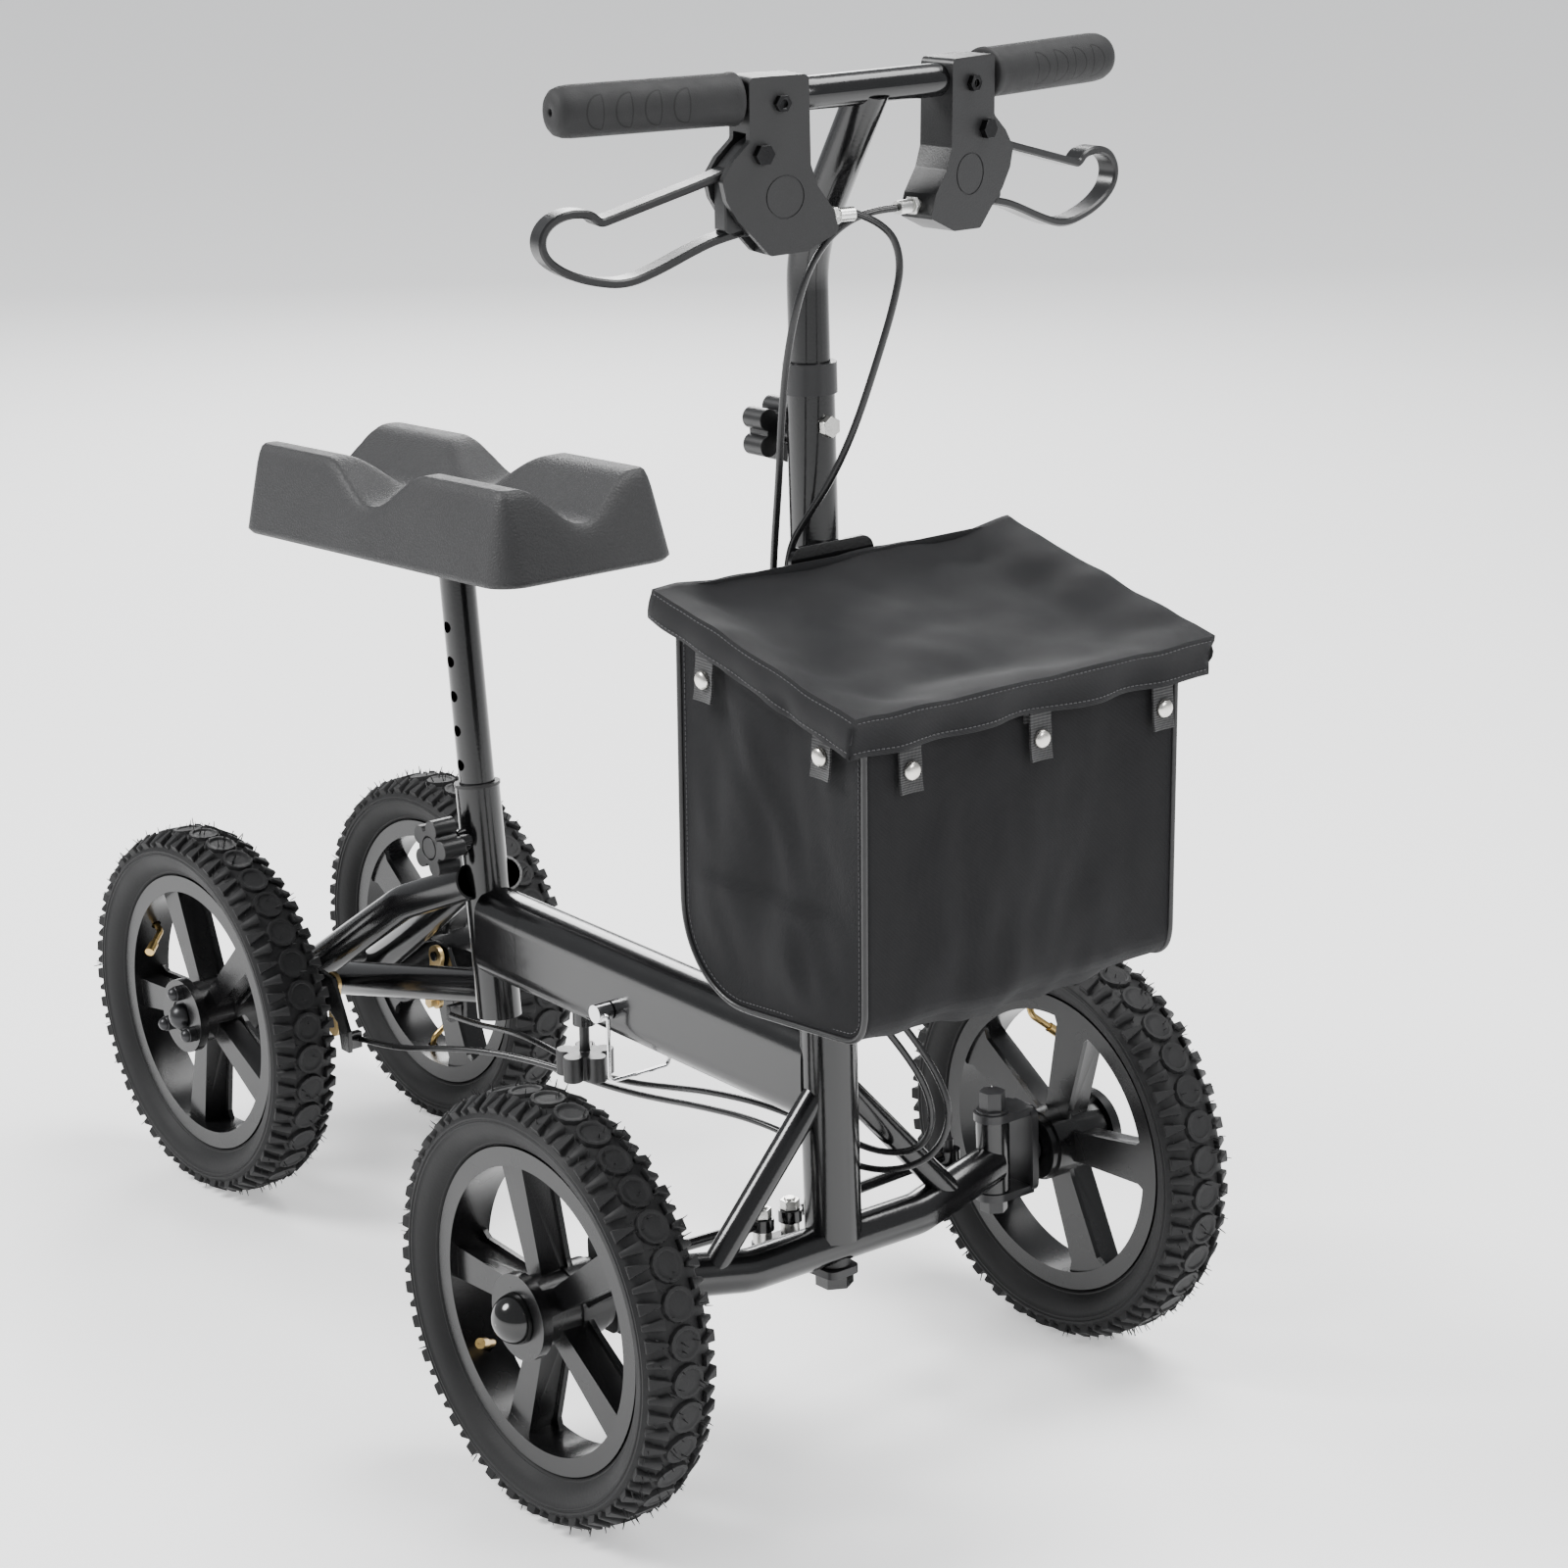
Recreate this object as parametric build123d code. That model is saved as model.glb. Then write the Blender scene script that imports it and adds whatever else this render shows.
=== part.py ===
"""Four-wheeled knee scooter with a tiller, a knee pad on a post and a front bag.

Millimetres. +X is forward, +Y the rider's left, +Z up. The origin is on the floor, midway between
the rearmost and the foremost point. The steering parts are built in a frame whose Z axis is the
steering axis, so that the kingpins and the linkage pivots stay parallel to it.
"""

import math
import os

from build123d import *

os.makedirs("parts", exist_ok=True)

# Overall sizes
WHEELBASE = 653.0
FRONT_AXLE_X = 290.0
REAR_AXLE_X = FRONT_AXLE_X - WHEELBASE
FRONT_TRACK = 470.0
REAR_TRACK = 231.0
SIDES = {"right": -1, "left": 1}

# Clearances, all radial or face to face
TURN_GAP = 0.05
FIXED_GAP = 0.02
SLIP_GAP = 0.3

# Wheels
TYRE_RADIUS = 152.5
TYRE_WIDTH = 54.0
TYRE_WALL = 4.0
RIM_RADIUS = 115.0
RIM_INNER_RADIUS = 101.5
RIM_WIDTH = 32.8
RIM_SHEET = 3.0
SPOKE_COUNT = 5
SPOKE_PHASE = {"front_right": 36.0, "rear_right": 43.0, "front_left": 6.0, "rear_left": 2.0}
VALVE_STEP = {"front_right": 2.5, "rear_right": 1.5, "front_left": 1.5, "rear_left": 3.5}
HUB_RADIUS = 25.0
HUB_FLANGE_RADIUS = 30.5
HUB_OUTER = 30.0
HUB_INNER = 34.0
BEARING_RADIUS = 14.0
BEARING_WIDTH = 8.0
AXLE_RADIUS = 7.5

# Steering axis
LEAN = 1.79
HEAD_X = FRONT_AXLE_X + 11.5
HEAD_Z = 161.0
HEAD_TUBE_RADIUS = 20.5
HEAD_TUBE_TOP = 160.0
COLUMN_RADIUS = 16.5
COLUMN_TOP = 609.0
COLUMN_FOOT = 6.0
SPINDLE_RADIUS = 9.0
STEM_RADIUS = 14.0
STEM_FOOT = 380.0
BUSH_FLANGE = 3.0

# Front beam and linkage
BEAM_RADIUS = 15.5
BEAM_WALL = 2.0
BEAM_LEVEL = -24.0
BEAM_BEND_Y = 78.0
BRACE_TOP = 92.0
KINGPIN_Y = 163.0
KINGPIN_TUBE_RADIUS = 12.5
KINGPIN_RADIUS = 6.0
KINGPIN_LOW = -31.5
KINGPIN_HIGH = 23.5
ARM_BACK = 66.0
ARM_OUT = 13.0
ARM_LEVEL = -47.0
ARM_THICK = 6.0
ROD_LEVEL = -26.5
ROD_HEIGHT = 9.0
LINK_PIN_RADIUS = 4.0
OPEN_PIVOT_GAP = 0.4
YOKE_REACH = 25.0
YOKE_SHEET = 6.0

# Main tube
MAIN_LEVEL = 261.0
MAIN_HEIGHT = 72.0
MAIN_WIDTH = 42.0
MAIN_WALL = 2.5
SEAM_X = REAR_AXLE_X + 304.5
SPIGOT_END_X = REAR_AXLE_X + 480.0
PIN_X = REAR_AXLE_X + 427.5
PIN_Z = 250.0
PIN_RADIUS = 4.0
BAIL_DROP = 52.0
BAIL_WIRE = 1.5
TUBE_KNOB_X = REAR_AXLE_X + 364.5
TUBE_KNOB_Z = 174.0

# Seat
SEAT_TUBE_X = REAR_AXLE_X + 249.2
SEAT_TUBE_Z = 190.0
SEAT_LEAN = 6.31
SEAT_TUBE_RADIUS = 17.5
SEAT_TUBE_BORE = 15.5
SEAT_TUBE_LENGTH = 187.0
POST_RADIUS = 14.0
POST_FOOT = 78.0
POST_WALL = 2.0
SEAT_KNOB_LEVEL = 146.0
HOLE_PITCH = 27.3
PAD_X = REAR_AXLE_X + 206.5
PAD_Z = 564.7
PAD_TILT = 3.0
PAD_LENGTH = 372.0
PAD_WIDTH = 163.0
PAD_HEIGHT = 70.0
PAD_VALLEY = 36.0
PAD_CROSS_VALLEY = 39.0
PLATE_THICK = 4.0

# Rear frame
STAY_RADIUS = 14.0
STAY_WALL = 2.0
AXLE_TUBE_RADIUS = 15.0
AXLE_TUBE_HALF = 58.0
REAR_AXLE_RADIUS = 6.0
BRAKE_ARM_Y = 50.0
BRAKE_PIVOT = (REAR_AXLE_X + 84.0, 183.0)
BRAKE_FOOT = (REAR_AXLE_X + 82.0, 143.0)
CABLE_STOP = (REAR_AXLE_X + 109.0, 140.0)
DRUM_RADIUS = 36.0

# Handlebar and levers
BAR_X = FRONT_AXLE_X + 56.0
BAR_Z = 957.0
BAR_RADIUS = 11.0
BAR_WALL = 2.0
BAR_BEND_Y = 52.0
BAR_SWEEP = 9.3
GRIP_RADIUS = 16.5
GRIP_START = 52.0
GRIP_END = 181.0
STEM_BEND_Z = 845.0
HOUSING_THICK = 27.0
SLOT_WIDTH = 16.6
LEVER_WIDTH = 15.0
LEVER_STRIP = 5.5
LEVER_PIVOT = (40.0, -34.0)
LEVER_BOLT_RADIUS = 4.0
ADJUSTER_LEVEL = -79.0
ADJUSTER_END = -34.0

# Bag and its hoop
HOOP_REAR_X = FRONT_AXLE_X + 24.0
HOOP_FRONT_X = FRONT_AXLE_X + 212.0
HOOP_HALF = 138.0
HOOP_Z = 617.0
HOOP_HEIGHT = 12.0
HOOP_SHEET = 3.0
BAG_TILT = 11.5
BAG_REAR_X = FRONT_AXLE_X + 20.0
BAG_FRONT_X = FRONT_AXLE_X + 210.0
BAG_HALF = 134.0
BAG_BOTTOM = 366.0
BAG_SHEET = 2.0
LID_FRONT_X = FRONT_AXLE_X + 225.5
LID_HALF = 155.0
LID_Z = 645.0
LID_SKIRT = 27.0
PLATE_HALF = 36.0
PLATE_LOW = 400.0
PLATE_HIGH = 489.0
PLATE_HOLE_Y = 22.0
PLATE_HOLE_Z = 632.0
PLATE_HOLE_RADIUS = 3.5

# Cables
CABLE_RADIUS = 2.5

STEER = Plane(
    origin=(HEAD_X, 0, HEAD_Z),
    x_dir=(math.cos(math.radians(LEAN)), 0, math.sin(math.radians(LEAN))),
    z_dir=(-math.sin(math.radians(LEAN)), 0, math.cos(math.radians(LEAN))),
)
SEAT = Plane(
    origin=(SEAT_TUBE_X, 0, SEAT_TUBE_Z),
    x_dir=(math.cos(math.radians(SEAT_LEAN)), 0, math.sin(math.radians(SEAT_LEAN))),
    z_dir=(-math.sin(math.radians(SEAT_LEAN)), 0, math.cos(math.radians(SEAT_LEAN))),
)
PAD = Plane(
    origin=(PAD_X, 0, PAD_Z),
    x_dir=(math.cos(math.radians(PAD_TILT)), 0, math.sin(math.radians(PAD_TILT))),
    z_dir=(-math.sin(math.radians(PAD_TILT)), 0, math.cos(math.radians(PAD_TILT))),
)
AXLE = STEER.to_local_coords(Vector(FRONT_AXLE_X, 0, TYRE_RADIUS))
KINGPIN_U = AXLE.X
AXLE_LEVEL = AXLE.Z


def save(name, *solids):
    """Writes one node: its solids are the separate pieces that share it."""
    shape = solids[0] if len(solids) == 1 else Compound(children=list(solids))
    export_step(shape, f"parts/{name}.step")


def rod(start, end, radius):
    """A round bar between two points."""
    start, end = Vector(*start), Vector(*end)
    return Solid.make_cylinder(radius, (end - start).length, Plane(origin=start, z_dir=end - start))


def pipe(start, end, radius, bore):
    """A round tube between two points."""
    return rod(start, end, radius) - rod(start, end, bore)


def block(low, high):
    """A box between two corners."""
    size = [b - a for a, b in zip(low, high)]
    centre = [(a + b) / 2 for a, b in zip(low, high)]
    return Pos(*centre) * Box(*size)


def hexagon(start, end, across):
    """A hexagonal nut or bolt head between two points."""
    start, end = Vector(*start), Vector(*end)
    face = Plane(origin=start, z_dir=end - start) * RegularPolygon(across / 2, 6, major_radius=False)
    return extrude(face, (end - start).length, dir=end - start)


def bent(points, bends, radius):
    """A round bar along straight runs that are joined by arcs."""
    path = FilletPolyline(*points, radius=bends)
    return sweep(Plane(origin=path @ 0, z_dir=path % 0) * Circle(radius), path=path)


def profile(points, bend):
    """A flat outline through the points, with every corner rounded."""
    wire = Polyline(*points, close=True)
    face = make_face(wire)
    return fillet(face.vertices(), bend)


def star_knob(reach):
    """A five-lobed knob round Z, from 0 to reach, with a recessed cap."""
    lobes = Circle(14.0)
    for turn in range(5):
        lobes += Rot(0, 0, 72 * turn) * Pos(15.5, 0) * Circle(7.5)
    body = extrude(lobes, reach)
    cap = Pos(0, 0, reach - 1.2) * (Cylinder(9.5, 2.4) - Cylinder(8.5, 2.4))
    return body - cap


# ---------------------------------------------------------------- wheels
def tyre():
    """Tyre section turned round the axle: tread, walls and two beads, open at the rim."""
    half = TYRE_WIDTH / 2
    bead = RIM_WIDTH / 2 - RIM_SHEET - SLIP_GAP
    foot = RIM_INNER_RADIUS + RIM_SHEET + SLIP_GAP
    lip = RIM_RADIUS + 1.6
    outer = [(lip, bead), (lip + 7, half - 5.5), (133.0, half), (145.0, half - 2.5), (151.0, half - 13)]
    outer += [(TYRE_RADIUS, 0)]
    skin = Spline(*outer, *[(r, -z) for r, z in reversed(outer[:-1])])
    wall = TYRE_WALL
    inner = [(foot, bead - wall), (lip, bead - wall), (lip + 6, half - 5.5 - wall), (133.0, half - wall)]
    inner += [(144.0, half - 3 - wall), (148.0, 8.0)]
    left = [(r, -z) for r, z in reversed(inner)]
    sides = Polyline(skin @ 1, (foot, -bead), (foot, -bead + wall))
    lining = Polyline(*reversed(left), *reversed(inner), (foot, bead), (lip, bead))
    return revolve(make_face([*skin.edges(), *sides.edges(), *lining.edges()]).rotate(Axis.X, 90), Axis.Z)


def rim(phase, valve):
    """Moulded wheel: U-shaped rim, five flanged spokes and a hub with two bearing seats."""
    half = RIM_WIDTH / 2
    bed = RIM_INNER_RADIUS + RIM_SHEET
    section = Polyline(
        (RIM_INNER_RADIUS, -half),
        (RIM_RADIUS, -half),
        (RIM_RADIUS, RIM_SHEET - half),
        (bed, RIM_SHEET - half),
        (bed, half - RIM_SHEET),
        (RIM_RADIUS, half - RIM_SHEET),
        (RIM_RADIUS, half),
        (RIM_INNER_RADIUS, half),
        close=True,
    )
    body = revolve(make_face(section).rotate(Axis.X, 90), Axis.Z)
    hub = Pos(0, 0, (HUB_OUTER - HUB_INNER) / 2) * Cylinder(HUB_RADIUS, HUB_OUTER + HUB_INNER)
    hub += Pos(0, 0, HUB_OUTER - 4) * Cylinder(HUB_FLANGE_RADIUS, 8)
    hub += Pos(0, 0, 6 - HUB_INNER / 2 - 6) * Cylinder(HUB_RADIUS + 2, HUB_INNER - 12)
    reach = RIM_INNER_RADIUS + 1.5
    web = Polyline((10, -9), (HUB_RADIUS, -8.5), (reach, -12), (reach, 12), (HUB_RADIUS, 8.5), (10, 9), close=True)
    flange = Polyline(
        (10, -13), (HUB_RADIUS + 6, -11.5), (reach - 10, -15), (reach, -22), (reach, 22), (reach - 10, 15),
        (HUB_RADIUS + 6, 11.5), (10, 13), close=True,
    )  # fmt: skip
    spoke = Pos(0, 0, -12) * extrude(make_face(web), 22) + Pos(0, 0, -14) * extrude(make_face(flange), 4)
    spoke &= Cylinder(RIM_INNER_RADIUS + 1.5, 200)
    for step in range(SPOKE_COUNT):
        body += Rot(0, 0, phase + 360 / SPOKE_COUNT * step) * spoke
    body += hub
    body -= Cylinder(BEARING_RADIUS - 3, 200)
    body -= Pos(0, 0, HUB_OUTER) * Cylinder(BEARING_RADIUS, 2 * BEARING_WIDTH)
    body -= Pos(0, 0, -HUB_INNER) * Cylinder(BEARING_RADIUS, 2 * BEARING_WIDTH)
    body -= Rot(0, 0, valve) * Pos(RIM_INNER_RADIUS, 0, 0) * Rot(0, 90, 0) * Cylinder(4.2, 20)
    return body


def inner_tube(valve):
    """Rubber tube with an angled brass valve stem and its dust cap."""
    radius = 16.5
    middle = TYRE_RADIUS - TYRE_WALL - 0.8 - radius
    ring = revolve((Pos(middle, 0) * (Circle(radius) - Circle(radius - 1.5))).rotate(Axis.X, 90), Axis.Z)
    stem_path = [(middle - radius + 1.6, 0, 0), (RIM_INNER_RADIUS - 8, 0, 0), (RIM_INNER_RADIUS - 20, 0, 13)]
    stem = bent(stem_path, 7.0, 2.6)
    along = Vector(-12, 0, 13).normalized()
    tip = Vector(*stem_path[2])
    cap = rod(tip + along * 0.1, tip + along * 11, 3.8)
    ring -= rod(stem_path[0], stem_path[1], 2.6 + FIXED_GAP)
    return [Rot(0, 0, valve) * piece for piece in (ring, stem, cap)]


def bearings():
    """Two ball bearings, each a plain ring as wide as its seat."""
    ring = Cylinder(BEARING_RADIUS - FIXED_GAP, BEARING_WIDTH - 1) - Cylinder(AXLE_RADIUS + TURN_GAP, BEARING_WIDTH)
    seat = BEARING_WIDTH / 2
    return [Pos(0, 0, HUB_OUTER - seat - 0.4) * ring, Pos(0, 0, seat + 0.4 - HUB_INNER) * ring]


def front_hub_parts():
    """Bearings and the domed cap that covers the axle nut."""
    dome = Sphere(18.0) & Pos(0, 0, 10) * Box(50, 50, 20)
    dome -= Sphere(16.2) & Pos(0, 0, 10) * Box(50, 50, 20)
    cap = Pos(0, 0, HUB_OUTER) * dome
    return [*bearings(), cap]


def rear_hub_parts():
    """Bearings, the brake drum and the three bolts that hold it through the hub."""
    drum = Pos(0, 0, -HUB_INNER - 9) * (Cylinder(DRUM_RADIUS, 18) - Pos(0, 0, -3) * Cylinder(DRUM_RADIUS - 3, 18))
    drum -= Cylinder(BEARING_RADIUS - 3, 200)
    dome = Sphere(10.8) & Pos(0, 0, 8) * Box(30, 30, 16)
    dome -= Sphere(9.3) & Pos(0, 0, 8) * Box(30, 30, 16)
    pieces = [*bearings(), Pos(0, 0, HUB_OUTER) * dome]
    for turn in (90, 210, 330):
        spot = Rot(0, 0, turn) * Pos(20.5, 0, 0)
        shank = Pos(0, 0, (HUB_OUTER - HUB_INNER - 4) / 2) * Cylinder(2.5, HUB_OUTER + HUB_INNER + 4)
        nut = Pos(0, 0, HUB_OUTER + 3) * Cylinder(6.2, 6) + Pos(0, 0, HUB_OUTER + 6) * Sphere(5.6)
        nut &= Pos(0, 0, HUB_OUTER + 10) * Box(20, 20, 20)
        pieces.append(spot * (shank + nut))
        drum -= spot * Cylinder(2.5 + FIXED_GAP, 200)
    return [drum, *pieces]


def drum_bolt_holes():
    """Holes for the three drum bolts."""
    holes = [Rot(0, 0, turn) * Pos(20.5, 0, 0) * Cylinder(2.5 + FIXED_GAP, 200) for turn in (90, 210, 330)]
    return holes[0] + holes[1] + holes[2]


for end, axle_x, track in (("front", FRONT_AXLE_X, FRONT_TRACK), ("rear", REAR_AXLE_X, REAR_TRACK)):
    for side, sign in SIDES.items():
        corner = f"{end}_{side}"
        place = Plane(origin=(axle_x, sign * track / 2, TYRE_RADIUS), x_dir=(1, 0, 0), z_dir=(0, sign, 0)).location
        phase = -sign * SPOKE_PHASE[corner]
        valve = -sign * (SPOKE_PHASE[corner] + 72 * VALVE_STEP[corner])
        wheel = rim(phase, valve)
        if end == "rear":
            wheel -= drum_bolt_holes()
        save(f"tyre_{corner}", place * tyre())
        save(f"rim_{corner}", place * wheel)
        save(f"inner_tube_{corner}", *[place * piece for piece in inner_tube(valve)])
        fittings = front_hub_parts() if end == "front" else rear_hub_parts()
        save(f"hub_parts_{corner}", *[place * piece for piece in fittings])

# ---------------------------------------------------------------- front frame, in the steering frame
kingpins = {side: (KINGPIN_U, sign * KINGPIN_Y) for side, sign in SIDES.items()}
beam_end = (BEAM_LEVEL + AXLE_LEVEL) / 2 + 6
beam_points = [
    (KINGPIN_U, -KINGPIN_Y, beam_end),
    (0, -BEAM_BEND_Y, BEAM_LEVEL),
    (0, BEAM_BEND_Y, BEAM_LEVEL),
    (KINGPIN_U, KINGPIN_Y, beam_end),
]
beam_solid = bent(beam_points, 60.0, BEAM_RADIUS)
beam = beam_solid - bent(beam_points, 60.0, BEAM_RADIUS - BEAM_WALL)
beam -= rod((0, 0, -60), (0, 0, 20), 12.0 + FIXED_GAP)
kingpin_tubes = []
for u, y in kingpins.values():
    beam -= rod((u, y, -60), (u, y, 60), KINGPIN_TUBE_RADIUS)
    beam -= block((u - 30, min(y, y * 1.4), -60), (u + 30, max(y, y * 1.4), 60))
    kingpin_tubes.append(pipe((u, y, KINGPIN_LOW), (u, y, KINGPIN_HIGH), KINGPIN_TUBE_RADIUS, 8.3))
save("front_beam", STEER.location * beam)
save("kingpin_housings", *[STEER.location * piece for piece in kingpin_tubes])

head_bore = 18.3
head_tube = pipe((0, 0, BEAM_LEVEL), (0, 0, HEAD_TUBE_TOP), HEAD_TUBE_RADIUS, head_bore) - beam_solid
head_tube -= block((-30, -30, BEAM_LEVEL - 20), (30, 30, BEAM_LEVEL + 5))
save("head_tube", STEER.location * head_tube)

# Bushes: two in the head tube, one through the beam, two in each kingpin tube, one in the seat tube
bushes = []
for low, high, flange in ((5.0, 35.0, 0), (HEAD_TUBE_TOP - 30, HEAD_TUBE_TOP, BUSH_FLANGE)):
    bush = rod((0, 0, low), (0, 0, high), head_bore - FIXED_GAP)
    if flange:
        bush += rod((0, 0, high), (0, 0, high + flange), HEAD_TUBE_RADIUS)
    radius = COLUMN_RADIUS + TURN_GAP
    bushes.append(STEER.location * (bush - rod((0, 0, low), (0, 0, high + 10), radius)))
beam_bush = pipe((0, 0, BEAM_LEVEL - 16), (0, 0, BEAM_LEVEL + 16), 12.0, SPINDLE_RADIUS + TURN_GAP)
bushes.append(STEER.location * beam_bush)
for u, y in kingpins.values():
    for low in (KINGPIN_LOW, KINGPIN_HIGH - 15):
        bushes.append(STEER.location * pipe((u, y, low), (u, y, low + 15), 8.3 - FIXED_GAP, KINGPIN_RADIUS + TURN_GAP))
seat_bush = rod((0, 0, SEAT_TUBE_LENGTH - 60), (0, 0, SEAT_TUBE_LENGTH), SEAT_TUBE_BORE - FIXED_GAP)
seat_bush += rod((0, 0, SEAT_TUBE_LENGTH), (0, 0, SEAT_TUBE_LENGTH + 2.5), SEAT_TUBE_RADIUS + 0.7)
seat_bush -= rod((0, 0, 0), (0, 0, SEAT_TUBE_LENGTH + 10), POST_RADIUS + TURN_GAP)
seat_bush -= rod((0, 0, SEAT_KNOB_LEVEL), (0, -40, SEAT_KNOB_LEVEL), 5.0)
bushes.append(SEAT.location * seat_bush)
save("frame_bushes", *bushes)

# ---------------------------------------------------------------- main tube
main_mid_x = (SEAM_X + HEAD_X) / 2


def oval(x, width, height):
    """The main tube's rounded section, standing across X."""
    face = RectangleRounded(width, height, width / 2 - 1.5)
    return Plane(origin=(x, 0, MAIN_LEVEL), x_dir=(0, 1, 0), z_dir=(1, 0, 0)) * face


head_core = STEER.location * rod((0, 0, -60), (0, 0, 200), HEAD_TUBE_RADIUS)
seat_core = SEAT.location * rod((0, 0, -20), (0, 0, 300), SEAT_TUBE_RADIUS)
inner_width = MAIN_WIDTH - 2 * MAIN_WALL
inner_height = MAIN_HEIGHT - 2 * MAIN_WALL
main_outer = extrude(oval(SEAM_X, MAIN_WIDTH, MAIN_HEIGHT), HEAD_X - 9 - SEAM_X)
main_tube = main_outer - extrude(oval(SEAM_X, inner_width, inner_height), HEAD_X - SEAM_X)
main_tube -= head_core
main_tube = main_tube.solids().sort_by(SortBy.VOLUME)[-1]
pin_hole = rod((PIN_X, -60, PIN_Z), (PIN_X, 60, PIN_Z), PIN_RADIUS + TURN_GAP)
boss_low = MAIN_LEVEL - MAIN_HEIGHT / 2 - 9
tube_boss = rod((TUBE_KNOB_X, 0, boss_low), (TUBE_KNOB_X, 0, MAIN_LEVEL - inner_height / 2), 9.0)
tube_boss -= extrude(oval(SEAM_X, inner_width, inner_height), HEAD_X - SEAM_X)
stud_hole = rod((TUBE_KNOB_X, 0, boss_low - 5), (TUBE_KNOB_X, 0, MAIN_LEVEL), 4.0 + TURN_GAP)
save("main_tube", main_tube + tube_boss - pin_hole - stud_hole)

braces = []
for sign in SIDES.values():
    brace = pipe((0, sign * 12, BRACE_TOP), (0, sign * 112, BEAM_LEVEL + 6), 9.5, 7.5) - beam_solid
    brace = STEER.location * brace - head_core - main_outer
    braces.append(brace.solids().sort_by(SortBy.VOLUME)[-1])
save("front_braces", *braces)

spigot_width = inner_width - 2 * SLIP_GAP
spigot_height = inner_height - 2 * SLIP_GAP
spigot = extrude(oval(SEAT_TUBE_X, MAIN_WIDTH, MAIN_HEIGHT), SEAM_X - SLIP_GAP - SEAT_TUBE_X)
spigot += extrude(oval(SEAM_X - 10, spigot_width, spigot_height), SPIGOT_END_X - SEAM_X + 10)
spigot -= extrude(oval(SEAT_TUBE_X, spigot_width - 5, spigot_height - 5), SPIGOT_END_X - SEAT_TUBE_X)
spigot -= seat_core
spigot = spigot.solids().sort_by(SortBy.VOLUME)[-1]
save("spigot_tube", spigot - pin_hole)

# ---------------------------------------------------------------- seat tube and rear frame
knob_boss = rod((0, 0, SEAT_KNOB_LEVEL), (0, -SEAT_TUBE_RADIUS - 7, SEAT_KNOB_LEVEL), 9.0)
seat_tube = rod((0, 0, 0), (0, 0, SEAT_TUBE_LENGTH), SEAT_TUBE_RADIUS) + knob_boss
seat_tube -= rod((0, 0, 0), (0, 0, SEAT_TUBE_LENGTH), SEAT_TUBE_BORE)
seat_tube -= rod((0, 0, SEAT_KNOB_LEVEL), (0, -60, SEAT_KNOB_LEVEL), 4.0 + TURN_GAP)
save("seat_tube", SEAT.location * seat_tube)

axle_core = rod((REAR_AXLE_X, -AXLE_TUBE_HALF, TYRE_RADIUS), (REAR_AXLE_X, AXLE_TUBE_HALF, TYRE_RADIUS), AXLE_TUBE_RADIUS)
axle_tube = axle_core
for sign in SIDES.values():
    inner_y, outer_y = sign * (BRAKE_ARM_Y + 4.3), sign * (BRAKE_ARM_Y + 8)
    bracket_points = [
        (REAR_AXLE_X, TYRE_RADIUS - 13),
        (REAR_AXLE_X, TYRE_RADIUS + 13),
        (BRAKE_PIVOT[0] - 8, BRAKE_PIVOT[1] + 10),
        (BRAKE_PIVOT[0] + 10, BRAKE_PIVOT[1] + 8),
        (CABLE_STOP[0] + 6, CABLE_STOP[1] + 10),
        (CABLE_STOP[0] + 6, CABLE_STOP[1] - 8),
        (CABLE_STOP[0] - 6, CABLE_STOP[1] - 8),
        (CABLE_STOP[0] - 10, CABLE_STOP[1] + 14),
        (BRAKE_PIVOT[0] - 12, BRAKE_PIVOT[1] - 12),
    ]
    sheet = Plane(origin=(0, min(inner_y, outer_y), 0), x_dir=(1, 0, 0), z_dir=(0, -1, 0))
    outline = make_face(Polyline(*bracket_points, close=True))
    anchor = extrude(sheet * outline, 3.7, dir=(0, 1, 0))
    stop_y = sorted((sign * (BRAKE_ARM_Y - 7), sign * (BRAKE_ARM_Y + 5)))
    anchor += block(
        (CABLE_STOP[0] - 3, stop_y[0], CABLE_STOP[1] - 7),
        (CABLE_STOP[0] + 3, stop_y[1], CABLE_STOP[1] + 7),
    )
    pivot_low = (BRAKE_PIVOT[0], sign * (BRAKE_ARM_Y - 4), BRAKE_PIVOT[1])
    pivot_high = (BRAKE_PIVOT[0], sign * (BRAKE_ARM_Y + 6), BRAKE_PIVOT[1])
    axle_tube += anchor + rod(pivot_low, pivot_high, 4.0)
axle_bore = rod((REAR_AXLE_X, -90, TYRE_RADIUS), (REAR_AXLE_X, 90, TYRE_RADIUS), REAR_AXLE_RADIUS + FIXED_GAP)
save("rear_axle_tube", axle_tube - axle_bore)

stays = []
for sign in SIDES.values():
    start = (SEAT_TUBE_X - 10, sign * 17, 302)
    knee = (SEAT_TUBE_X - 88, sign * 29, 268)
    foot = (REAR_AXLE_X, sign * 44, TYRE_RADIUS + 3)
    stay = bent([start, knee, foot], 90.0, STAY_RADIUS)
    stay -= bent([start, knee, foot], 90.0, STAY_RADIUS - STAY_WALL)
    stay -= seat_core
    stay -= axle_tube
    stay = stay.solids().sort_by(SortBy.VOLUME)[-1]
    stay &= block((REAR_AXLE_X - 5, min(0, sign * 90), 100), (SEAT_TUBE_X, max(0, sign * 90), 400))
    stays.append(stay)
save("rear_upper_stays", *stays)
low_start = (SEAT_TUBE_X, 0, 214)
low_foot = (REAR_AXLE_X, 0, TYRE_RADIUS)
lower_stay = pipe(low_start, low_foot, STAY_RADIUS, STAY_RADIUS - STAY_WALL) - seat_core - axle_core
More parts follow.
